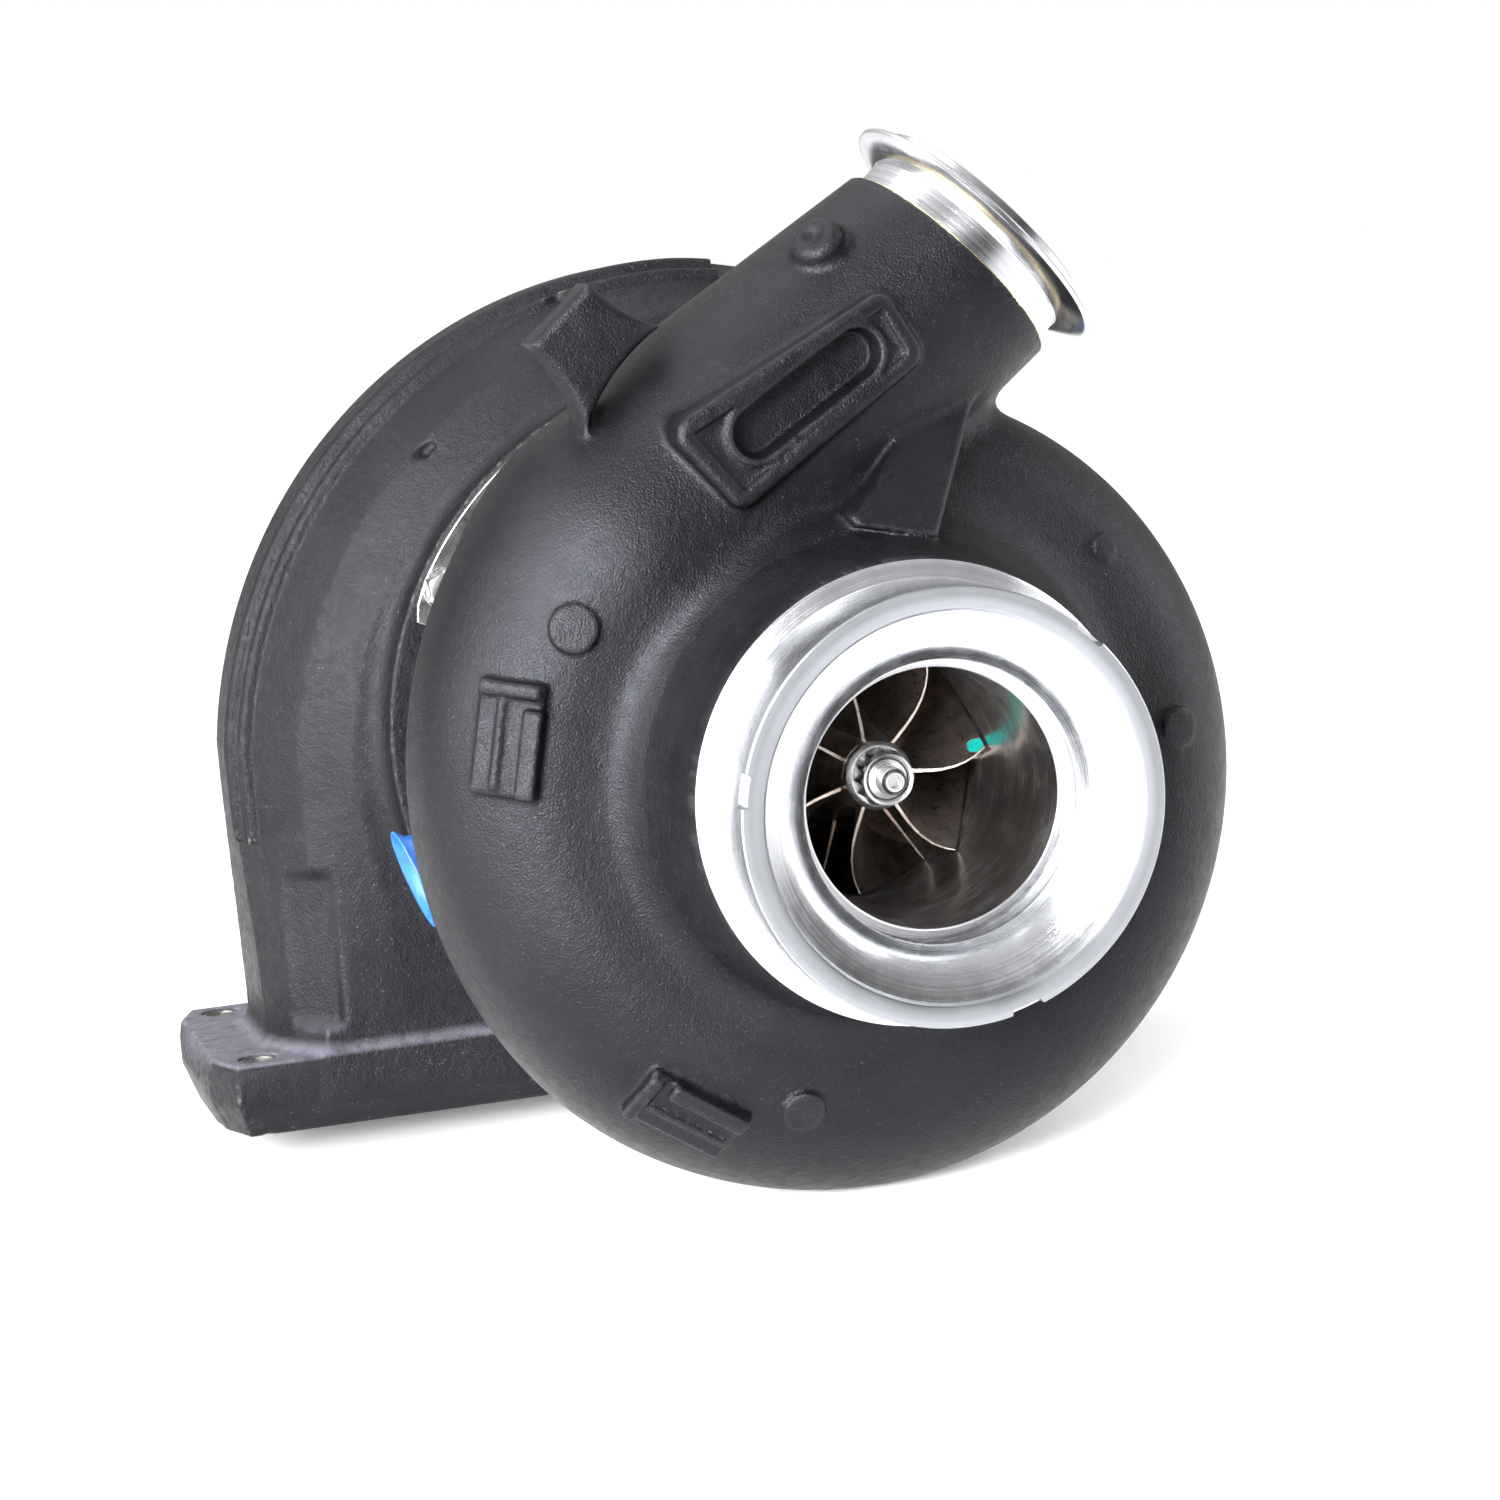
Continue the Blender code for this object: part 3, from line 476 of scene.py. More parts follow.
def foot_field(p):
    outline = polygon(p[:, 0] + FOOT_OFFSET, p[:, 1] - TURBINE_PLANE, foot_outline())
    made = corner(outline, slab(p[:, 2], FOOT_Z, FOOT_Z + FOOT_THICKNESS), 1.6)
    drawn_in = outline + 0.42 * np.maximum(FOOT_Z + 11 - p[:, 2], 0)
    end = np.abs(p[:, 0] + FOOT_OFFSET) - 80 + 0.32 * np.abs(p[:, 2] - FOOT_Z - 15)
    return np.maximum(np.maximum(made, drawn_in), end + 0.5)


def turbine_casting_field(p):
    radius = np.hypot(p[:, 0], p[:, 2])
    angle = np.degrees(np.arctan2(p[:, 2], p[:, 0]))
    travel = (180 - angle) % 360
    made = turbine_passage(p, travel, DUCT_SECTION, SCROLL_SECTION, 0) - 0.01
    made = blend(made, polygon(radius, p[:, 1], TURBINE_PROFILE) - TURBINE_EDGE, 7)
    along_rim = (travel < 97) | ((p[:, 2] < 0) & (p[:, 2] > -31) & (p[:, 0] < 0))
    for back, y, thick in RIM_RIDGES:
        ridge = np.where(along_rim, rim_distance(p, travel, back, y) - thick, 40)
        made = blend(made, ridge, 1.2)
    turn = Matrix.Rotation(math.radians(-38), 3, "Z")
    axes = (turn @ Vector((1, 0, 0)), turn @ Y, Z)
    recess = block(DUCT_RECESS, axes, (-10, -6, -26), (10, 4, 26), 3.5)
    made = blend(local_add(made, p, DUCT_RECESS, 46, recess, carve, 3), foot_field(p), 7)
    for x, y, z in CASTING_MARKS:
        for reach, lift, size in MARK_DENTS:
            place = (x + reach, y, z + lift)
            made = local_add(made, p, place, 9, ball(place, size), carve, 0.7)
    for side in (-1, 1):
        ports = mirrored(DUCT_PORT, side), mirrored(SCROLL_PORT, side)
        made = carve(made, turbine_passage(p, travel, *ports, 7), 1.0)
    made = carve(made, polygon(radius, p[:, 1], TURBINE_BORE), 0.5)
    for x, y in FOOT_HOLES:
        hole = np.hypot(p[:, 0] + FOOT_OFFSET - x, p[:, 1] - TURBINE_PLANE - y) - 6.2
        made = carve(made, np.maximum(hole, p[:, 2] + 70), 0.6)
    return made


# Bearing housing casting

DRAIN_BORE, FEED_BORE = 10, 6
PORTS = ((DRAIN_ANGLE, DRAIN_BORE, 15.6), (FEED_ANGLE, FEED_BORE, 13))
BEARING_PROFILE = [
    (33, 147), (48, 147), (48, 156), (53.5, 182.3), (53.5, 183.3), (82, 183.3), (82, 187.8),
    (62, 190.3), (50, 200), (48, 214), (58, 224), (84, 230), (104, 230), (104, 237), (50, 237),
    (50, 270), (44, 276), (15.3, 276), (15.3, 264), (11.3, 264), (11.3, 162), (33, 162),
]


def bearing_casting_field(p):
    made = polygon(np.hypot(p[:, 0], p[:, 2]), p[:, 1], BEARING_PROFILE)
    for angle, _, neck in PORTS:
        ends, wall = round_bar(p, polar(36, angle, PORT_Y), polar(PAD_REACH, angle, PORT_Y), neck)
        made = blend(made, corner(wall, ends, 0.8), 6)
    for angle, bore, _ in PORTS:
        mouth = polar(PAD_REACH + 5, angle, PORT_Y)
        ends, wall = round_bar(p, polar(20, angle, PORT_Y), mouth, bore)
        made = carve(made, np.maximum(ends, wall), 0.6)
    return made


# From fields to meshes


COARSE_CELLS = 4
NEAR_CELLS = 9  # how many cells from the surface a point may lie and still be worked out


def sampled(field, axes, step):
    """Field values on a grid. Only points near the surface are worked out finely."""
    coarse = [axis[::COARSE_CELLS] for axis in axes]
    grid = np.stack(np.meshgrid(*coarse, indexing="ij"), axis=-1).reshape(-1, 3)
    values = field(grid).reshape([len(axis) for axis in coarse])
    for k in range(3):
        values = np.repeat(values, COARSE_CELLS, axis=k)
    values = values[tuple(slice(0, len(axis)) for axis in axes)].copy()
    near = np.argwhere(np.abs(values) < step * NEAR_CELLS)
    points = np.stack([axis[near[:, k]] for k, axis in enumerate(axes)], axis=1)
    values[tuple(near.T)] = field(points)
    return values


def surface(field, low, high, step):
    """Points and four-sided faces where the field is nought."""
    axes = [np.arange(a, b + step, step) for a, b in zip(low, high)]
    values = sampled(field, axes, step)
    cells = np.array(values.shape) - 1
    sums = np.zeros((int(np.prod(cells)), 3), np.float32)
    hits = np.zeros(len(sums), np.int16)
    edges = []
    for axis in range(3):
        first = [slice(None)] * 3
        second = [slice(None)] * 3
        first[axis], second[axis] = slice(0, -1), slice(1, None)
        a, b = values[tuple(first)], values[tuple(second)]
        spots = np.argwhere((a < 0) != (b < 0))
        va, vb = a[tuple(spots.T)], b[tuple(spots.T)]
        points = spots.astype(float)
        points[:, axis] += va / (va - vb)
        others = [k for k in range(3) if k != axis]
        inside = np.all((spots[:, others] > 0) & (spots[:, others] < cells[others]), axis=1)
        spots, points, va = spots[inside], points[inside], va[inside]
        around = []
        for du, dv in ((0, 0), (-1, 0), (-1, -1), (0, -1)):
            cell = spots.copy()
            cell[:, others[0]] += du
            cell[:, others[1]] += dv
            ids = np.ravel_multi_index(cell.T, cells)
            around.append(ids)
            for k in range(3):
                sums[:, k] += np.bincount(ids, points[:, k], len(sums)).astype(np.float32)
            hits += np.bincount(ids, minlength=len(sums)).astype(np.int16)
        flip = (va < 0) == (axis != 1)
        quads = np.stack(around, axis=1)
        quads[~flip] = quads[~flip][:, ::-1]
        edges.append(quads)
    used = np.flatnonzero(hits)
    index = np.full(len(sums), -1)
    index[used] = np.arange(len(used))
    points = sums[used] / hits[used][:, None] * step + np.array([axis[0] for axis in axes])
    return settled(points.astype(float), field, step), index[np.concatenate(edges)]


def gradient(points, field, reach=0.05):
    slopes = [field(points + way) - field(points - way) for way in np.eye(3) * reach]
    return np.stack(slopes, axis=1) / (2 * reach)


def settled(points, field, step):
    """Moves points along the field's slope until they lie on its surface."""
    for _ in range(2):
        slope = gradient(points, field)
        move = (field(points) / np.maximum((slope ** 2).sum(axis=1), 0.2))[:, None] * slope
        length = np.linalg.norm(move, axis=1)[:, None]
        points = points - move * np.minimum(1, 0.6 * step / np.maximum(length, 1e-9))
    return points


def to_world(points):
    return np.array(points) * MM + np.array(DATUM)


def linked(name, data):
    """A new object in the scene."""
    made = bpy.data.objects.new(name, data)
    bpy.context.scene.collection.objects.link(made)
    return made


def new_object(name, mesh, finish, body="housings"):
    mesh.materials.append(finish)
    made = linked(name, mesh)
    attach(made, body)
    return made


def most_faces(mesh, limit):
    """Thins a mesh to a number of triangles, keeping them where the surface curves."""
    count = sum(len(face.vertices) - 2 for face in mesh.polygons)
    if count <= limit:
        return mesh
    holder = linked("holder", mesh)
    thin = holder.modifiers.new("thin", "DECIMATE")
    thin.ratio = limit / count
    graph = bpy.context.evaluated_depsgraph_get()
    made = bpy.data.meshes.new_from_object(holder.evaluated_get(graph))
    bpy.data.objects.remove(holder)
    return made


def cast(node, field, low, high, step, limit, finish):
    """A casting's skin between two corners, which takes the place of a node."""
    points, faces = surface(field, low, high, step)
    name = node.replace("housing", "casting")
    mesh = bpy.data.meshes.new(name)
    mesh.from_pydata(to_world(points).tolist(), [], faces.tolist())
    mesh = most_faces(mesh, limit)
    mesh.name = name
    mesh.shade_smooth()
    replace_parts(new_object(name, mesh, finish), node)


# Turned, lofted and bolted pieces


def softened(profile, size=0.5):
    """A closed profile with each sharp corner broken by a small round."""
    points = []
    count = len(profile)
    for i, here in enumerate(profile):
        before, here, after = Vector(profile[i - 1]), Vector(here), Vector(profile[(i + 1) % count])
        to_before, to_after = before - here, after - here
        turn = to_before.angle(to_after, math.pi)
        reach = min(size, 0.35 * to_before.length, 0.35 * to_after.length)
        if here.x <= 0 or turn > math.radians(155):
            points.append(tuple(here))
            continue
        start = here + to_before.normalized() * reach
        end = here + to_after.normalized() * reach
        for t in (0, 0.33, 0.67, 1):
            first, second = start.lerp(here, t), here.lerp(end, t)
            points.append(tuple(first.lerp(second, t)))
    return points


def aligned(origin, axis):
    """Carries a piece made about the shaft to another axis."""
    return Matrix.Translation(origin) @ Y.rotation_difference(Vector(axis)).to_matrix().to_4x4()


def finished(name, bm, finish, body="housings", matrix=None, sharp=35):
    """A named piece from a mesh in millimetres."""
    bmesh.ops.remove_doubles(bm, verts=bm.verts, dist=0.001)
    bmesh.ops.recalc_face_normals(bm, faces=bm.faces)
    if matrix is not None:
        bmesh.ops.transform(bm, matrix=matrix, verts=bm.verts)
    carry = Matrix.Translation(DATUM) @ Matrix.Scale(MM, 4)
    bmesh.ops.transform(bm, matrix=carry, verts=bm.verts)
    mesh = bpy.data.meshes.new(name)
    bm.to_mesh(mesh)
    bm.free()
    mesh.shade_smooth()
    mesh.set_sharp_from_angle(angle=math.radians(sharp))
    return new_object(name, mesh, finish, body)


def turned(profile, steps=144, limit=None, bm=None):
    """A closed (radius, y) profile spun about the shaft, out to a limit that goes by the angle."""
    bm = bm or bmesh.new()
    rings = []
    for i in range(steps):
        angle = 360 * i / steps
        most = limit(angle) if limit else math.inf
        rings.append([bm.verts.new(polar(min(radius, most), angle, y)) for radius, y in profile])
    for first, second in zip(rings, rings[1:] + rings[:1]):
        for k in range(len(profile)):
            n = (k + 1) % len(profile)
            if profile[k][0] == 0 and profile[n][0] == 0:
                continue
            bm.faces.new((first[k], first[n], second[n], second[k]))
    return bm


def hexagon(flat):
    """Radius of a hexagon by angle, from half the distance across its flats."""
    def limit(angle):
        return flat / math.cos(math.radians((angle + 30) % 60 - 30))
    return limit


def twelve_point(flat):
    six = hexagon(flat)
    return lambda angle: max(six(angle), six(angle + 30))


def lofted(rings, bm=None):
    bm = bm or bmesh.new()
    loops = [[bm.verts.new(point) for point in ring] for ring in rings]
    for first, second in zip(loops, loops[1:]):
        for i in range(len(first)):
            j = (i + 1) % len(first)
            bm.faces.new((first[i], first[j], second[j], second[i]))
    bm.faces.new(loops[0])
    bm.faces.new(loops[-1])
    return bm


def bevelled(made, width, segments=2):
    """Rounds the edges of a made piece."""
    soft = made.modifiers.new("soft_edges", "BEVEL")
    soft.width = width * MM
    soft.segments = segments
    soft.limit_method = "ANGLE"
    soft.angle_limit = math.radians(40)
    soft.harden_normals = True
    return made


def hex_bolt(name, top, length, flat, thread, finish):
    """A bolt along the shaft's way, with a chamfered head whose top is at a point."""
    tip, full = flat * 0.88, flat / math.cos(math.radians(30)) + 0.2
    head = 0.62 * 2 * flat
    profile = [(0, 0), (tip, 0)] + [(tip + (full - tip) * t, 1.5 * t * t) for t in (0.35, 0.7, 1)]
    profile += [(full, head), (thread, head), (thread, head + 0.01)]
    bm = turned(profile + [(thread, head + 0.5), (0, head + 0.5)], 96, hexagon(flat))
    turned(softened([(0, head), (thread, head), (thread, length), (0, length)]), 32, bm=bm)
    return finished(name, bm, finish, matrix=aligned(top, Y), sharp=28)


def zigzag(start, end, outer, inner, pitch):
    """The flanks of a thread as profile points."""
    points = []
    count = max(1, round((end - start) / pitch))
    for i in range(count):
        y = start + (end - start) * i / count
        points += [(inner, y), (outer, y + pitch * 0.4), (outer, y + pitch * 0.6)]
    return points + [(inner, end)]


# Wheels


def quarter_curve(start, end, count, share):
    """Points from start to end, from along the shaft at first to outwards at last."""
    points = []
    for i in range(count):
        t = i / (count - 1)
        turn = t * math.pi / 2
        straight = [a + (b - a) * t for a, b in zip(start, end)]
        curve = (
            start[0] + (end[0] - start[0]) * (1 - math.cos(turn)),
            start[1] + (end[1] - start[1]) * math.sin(turn),
        )
        points.append(tuple(s + share * (c - s) for s, c in zip(straight, curve)))
    return points


def vane(bm, hub, tip, angle_at, half_at, spans=8):
    """A thin blade between a hub curve and a tip curve, as a closed skin."""
    stations = len(hub)
    sides = []
    for side in (-1, 1):
        rows = []
        for i, (inner, outer) in enumerate(zip(hub, tip)):
            row = []
            for k in range(spans + 1):
                t = k / spans
                radius = inner[0] + (outer[0] - inner[0]) * t
                y = inner[1] + (outer[1] - inner[1]) * t
                share = i / (stations - 1)
                twist = math.degrees(side * half_at(share, t) / radius)
                row.append(bm.verts.new(polar(radius, angle_at(share, t) + twist, y)))
            rows.append(row)
        sides.append(rows)
    first, second = sides
    for i in range(stations - 1):
        for k in range(spans):
            for rows in sides:
                bm.faces.new((rows[i][k], rows[i + 1][k], rows[i + 1][k + 1], rows[i][k + 1]))
        for k in (0, spans):
            bm.faces.new((first[i][k], first[i + 1][k], second[i + 1][k], second[i][k]))
    for i in (0, stations - 1):
        for k in range(spans):
            bm.faces.new((first[i][k], first[i][k + 1], second[i][k + 1], second[i][k]))


def compressor_wheel(finish):
    """A milled wheel with seven full blades and seven splitters, whose tips lean into the turn."""
    exducer, wheel_back, stations, splitter_start = 53.0, 133.0, 20, 6
    curve = quarter_curve((10.2, 76), (exducer, wheel_back - 2.0), 22, 0.78)
    profile = [(6.3, 74.8), (9.4, 74.8), (10.2, 75.4), *curve[1:]]
    bm = turned(profile + [(exducer, wheel_back), (6.3, wheel_back)], 160)
    hub = quarter_curve((10.4, 78.5), (52.2, 131.6), stations, 0.78)
    hub = [(radius - 0.8, y + 0.8) for radius, y in hub]
    tip = quarter_curve((37.4, 82), (52.6, 127.6), stations, 0.86)

    def half_at(share, t):
        return (0.45 + 0.55 * min(1, share / 0.1)) * (1.15 - 0.7 * t)

    def wrap(share):
        return 66 * (1.25 * share - 0.25 * share * share)

    def full(base):
        return lambda share, t: base + (21.2 * t * t - 13.3 * t) * (1 - share) + wrap(share)

    def split(base):
        rest = stations - 1 - splitter_start
        return lambda share, t: base + wrap((splitter_start + share * rest) / (stations - 1))

    for i in range(7):
        base = 360 * i / 7 - 3.4
        vane(bm, hub, tip, full(base), half_at)
        vane(bm, hub[splitter_start:], tip[splitter_start:], split(base + 180 / 7), half_at)
    return finished("compressor_wheel_blades", bm, finish, "rotor", sharp=32)


def turbine_wheel(finish, steel):
    """The cast turbine wheel, friction welded to its shaft."""
    back = 281.0
    profile = [(radius, back + rise) for radius, rise in (
        (0, -1.6), (20, -1.4), (44, 0), (44, 2.2), (36, 3.6), (28, 8), (21, 16), (17, 26),
        (14.5, 38), (13, 50), (11.5, 53.5), (8, 55), (0, 55),
    )]
    bm = turned(profile, 120)
    stations = 12
    hub = quarter_curve((11.5, back + 46), (42, back + 2.5), stations, 0.8)
    tip = [(radius, back + rise) for radius, rise in (
        (41.2, 44), (41.2, 40), (41.3, 36), (41.6, 32), (42.4, 28), (43.4, 25), (44.8, 22),
        (46.2, 19.5), (47, 15), (47, 10), (47, 6), (47, 1.6),
    )]
    for i in range(11):
        base = 360 * i / 11
        vane(
            bm, hub, tip,
            lambda share, t, base=base: base + 36 * (1 - share) ** 1.6 * (0.55 + 0.45 * t),
            lambda share, t: 1.5 - 0.8 * t,
        )
    wheel = finished("turbine_wheel_blades", bm, finish, "rotor", sharp=32)
    shaft = [(0, 57.6), (1.5, 57.6), (1.9, 56), (2.9, 56), (3.6, 56.8)]
    shaft += zigzag(57.2, 62.2, 4.2, 3.7, 1.0)
    shaft += [(6, 63), (6, 163.5), (7.5, 164.5), (7.5, 264.6), (14.4, 264.6), (14.4, 269.7)]
    shaft += [(12.6, 269.7), (12.6, 271.9), (14.4, 271.9), (14.4, 278.8), (0, 279.6)]
    finished("rotor_shaft", turned(shaft, 96), steel, "rotor")
    return wheel


def nut(steel):
    """A twelve-point nut on a round flange."""
    crown = [
        (6.3, 62.5), (6.9, 62.2), (7.7, 62.4), (8.3, 63.1), (8.9, 64.2), (8.9, 70.6), (6.3, 70.6),
    ]
    flange = [(6.3, 70.4), (9.0, 70.4), (10.5, 72), (10.5, 74.6), (6.3, 74.6)]
    bm = turned(crown, 144, twelve_point(7.55))
    turned(softened(flange, 0.4), 96, bm=bm)
    return finished("shaft_nut_twelve_point", bm, steel, "rotor", sharp=25)


# Machined faces of the compressor housing

NOTCHES = (46, -74, 169)


def inlet_ring(finish, brushed):
    """The turned inlet: a notched, brushed rim, a hose face, a shoulder and a bell mouth."""
    def rim_limit(angle):
        return min(
            61.2 if abs((angle - middle + 180) % 360 - 180) < 4.1 else 99 for middle in NOTCHES
        )

    rim = [
        (55.8, 1.2), (56.6, 0.3), (57.4, 0), (61.2, 0), (62.5, 0), (63, 0.5), (63, 4.2),
        (61.2, 4.21), (58, 4.21), (55.8, 3.9),
    ]
    # The rim takes the darkened copy of the aluminium, which carries a painted shade.
    finished("inlet_notched_rim", turned(rim, 720, rim_limit), brushed, sharp=24)
    rest = [
        (55.8, 3.8), (61.2, 4.2), (63, 4.2), (63, 27.6), (63.4, 28.0), (67.4, 29.6),
        (SHOULDER_RADIUS, 30.2), (SHOULDER_RADIUS, PAINT_START), (45, 34), (38.2, 34),
        (38.2, 21.6), (41, 21.3), (41, 13.2), (41.6, 12.6), (43.2, 9.6), (46, 6.3), (50, 3.6),
        (53.4, 2.0), (55.8, 1.2), (55.9, 1.3), (55.8, 2.4),
    ]
    return finished("inlet_turned_ring", turned(rest, 180), finish, sharp=24)


def bore_lining(finish):
    """The polished bore, the wheel's shroud and the front wall of the diffuser."""
    wall = [
        (38.0, 21.4), (38.0, 84), (39.2, 94), (41.5, 106), (44, 113), (47.4, 119), (52, 124.4),
        (56.6, 127.4), (60, SHROUD_Y), (68, SHROUD_Y), (68, SHROUD_Y - 0.6), (60, SHROUD_Y - 0.7),
        (56.2, 126.6), (51.4, 123.6), (46.6, 118.4), (43.2, 112.4), (40.8, 106), (38.6, 94.4),
        (38.55, 84), (38.55, 21.4),
    ]
    return finished("compressor_bore_wall", turned(wall, 180), finish, sharp=30)


def outlet_trim(finish, edge):
    """The turned outlet, with a cone-backed flange and a spigot, and the chamfer of the paint."""
    ring = [
        (OUTLET_BORE + 0.3, -6), (36.6, -6), (36.6, 8.4), (36.9, 9), (38.6, 9.2), (45.3, 11.8),
        (46, 12.4), (46, 13.6), (45.4, 14.2), (40.4, 14.3), (40, 14.8), (39.6, 17.6), (39.0, 18.0),
        (35.2, 18.0), (OUTLET_BORE + 0.3, 17.2),
    ]
    lip = [(35, -3), (39.0, -0.9), (38.5, 0.25), (36.4, 0.5), (35, 0.4)]
    seat = aligned(MOUTH, FLOW)
    finished("outlet_flange_turned", turned(ring, 180), finish, matrix=seat, sharp=24)
    finished("outlet_paint_edge", turned(lip, 144), edge, matrix=seat)


# Clamps, plates, plugs and covers


def clamp_band(steel):
    """A V-band: its strap, the lugs at its gap, and a T-bolt with its nut."""
    low, high = 174.5, 188.0
    section = softened([
        (79.4, low - 2.6), (82.6, low - 0.4), (82.6, high + 0.4), (79.4, high + 2.6),
        (81.2, high + 4.2), (85.2, high + 1.4), (85.2, low - 1.4), (81.2, low - 4.2),
    ], 0.5)
    gap_angle, half_gap, steps = -60, 5, 150
    rings = []
    for i in range(steps + 1):
        angle = gap_angle + half_gap + (360 - 2 * half_gap) * i / steps
        rings.append([polar(radius, angle, y) for radius, y in section])
    finished("v_band_strap", lofted(rings), steel)
    tangent, middle = polar(1, gap_angle + 90), (low + high) / 2
    lug = [(83.5, -6), (97, -6), (97, 6), (83.5, 6)]
    bm = bmesh.new()
    for side in (-1, 1):
        lofted([
            [polar(radius, gap_angle, middle + y) + tangent * side * reach for radius, y in lug]
            for reach in (9, 17)
        ], bm)
    lugs = finished("v_band_lugs", bm, steel)
    bevelled(lugs, 1.6, 3)
    centre = polar(91, gap_angle, middle)
    rod = [(0, 0), (2.9, 0), (2.9, 6), *zigzag(6, 51, 3.0, 2.6, 1.0), (0, 51)]
    seat = aligned(centre - tangent * 21, tangent)
    t_bolt = finished("clamp_t_bolt_rod", turned(rod, 40), steel, matrix=seat)
    head = [(0, -0.1), (4.6, -0.1), (5.4, 0.6), (5.4, 3.2), (4.6, 3.8), (0, 3.8)]
    finished("clamp_t_bolt_head", turned(head, 48), steel, matrix=seat)
    shape = [(3.2, 0), (5.2, 0), (5.6, 0.35), (6.2, 1.0), (6.2, 6), (5.6, 6.65), (5.2, 7), (3.2, 7)]
    seat = aligned(centre + tangent * 17.4, tangent)
    made = finished("clamp_nut_hex", turned(shape, 96, hexagon(5.3)), steel, matrix=seat, sharp=25)
    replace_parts(lugs, "v_band_clamp")
    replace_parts(t_bolt, "clamp_t_bolt")
    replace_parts(made, "clamp_nut")


def flange_clamps(steel):
    """The curved plates that clamp the turbine housing's flange, each under two bolts."""
    low, high = FLANGE_Y - 3.4, FLANGE_Y - 0.3
    washer = softened([(4.3, 7.4), (7.1, 7.4), (7.1, 8.0), (4.3, 8.0)], 0.25)
    for index in range(4):
        middle = 138 + 90 * index
        rings = []
        for i in range(15):
            share = 2 * i / 14 - 1
            draw = 2.5 * abs(share) ** 8
            outline = [(97 + draw, low), (116 - draw, low), (116 - draw, high), (97 + draw, high)]
            rings.append([polar(radius, middle + 20 * share, y) for radius, y in outline])
        plate = finished(f"clamp_plate_{index + 1}_arc", lofted(rings), steel)
        bevelled(plate, 0.6)
        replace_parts(plate, f"clamp_plate_{index + 1}")
        for k, side in enumerate((-13, 13)):
            node = f"flange_bolt_{2 * index + k + 1}"
            top = polar(BOLT_CIRCLE, middle + side, low - 8.1)
            made = hex_bolt(node + "_hex", top, 22, 6.2, 4.0, steel)
            finished(node + "_washer", turned(washer, 64), steel, matrix=aligned(top, Y))
            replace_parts(made, node)


def plug(name, angle, hole, rim, plastic, body):
    """A tapered plastic plug with a flared, dished rim."""
    wall, flare = 1.2, hole + 0.35 * (rim - hole)
    profile = [
        (0, -18), (hole - 1.8, -18), (hole - 1.3, -17.4), (hole - 0.5, 1.5), (hole + 0.6, 6),
        (flare, 13), (rim - 3, 20.5), (rim - 0.6, 22.8), (rim, 23.5), (rim - 0.3, 24),
        (rim - 1.3, 24), (rim - 2.6, 23.2), (rim - 4.8, 21), (flare - 1.6, 13.6),
        (hole - 0.8, 6.5), (hole - 0.6 - wall, 2), (hole - 1.5 - wall, -16.4), (0, -16.4),
    ]
    seat = aligned(polar(PAD_REACH, angle, PORT_Y), polar(1, angle))
    return finished(name, turned(profile, 96), plastic, body, seat, 50)


def foot_threads(steel):
    """Cut threads in the four tapped holes of the inlet flange."""
    profile = zigzag(0, 23, 6.1, 5.1, 1.75) + [(6.6, 23), (6.6, 0)]
    for index, (x, y) in enumerate(FOOT_HOLES):
        seat = aligned((x - FOOT_OFFSET, y + TURBINE_PLANE, FOOT_Z + 1.2), Z)
        finished(f"flange_thread_{index + 1}", turned(profile, 48), steel, matrix=seat, sharp=20)


def backplate(finish):
    profile = [
        (14, 134), (60, 134), (60, 140), (58, 140), (58, 143), (60, 143), (60, 152), (66, 172),
        (66, 179), (82, 179), (82, 183), (54.6, 183), (49, 156), (49, 145), (14, 145),
    ]
    return finished("compressor_backplate_turned", turned(softened(profile, 0.4), 144), finish)


# Finishes: procedural, in metres, fixed to each piece


def add_node(tree, kind, *inputs, **facts):
    """A new node, with its inputs linked or set in order and its own facts by name."""
    made = tree.nodes.new(kind)
    for key, value in facts.items():
        setattr(made, key, value)
    for index, value in enumerate(inputs):
        if isinstance(value, bpy.types.NodeSocket):
            tree.links.new(value, made.inputs[index])
        elif value is not None:
            made.inputs[index].default_value = value
    return made


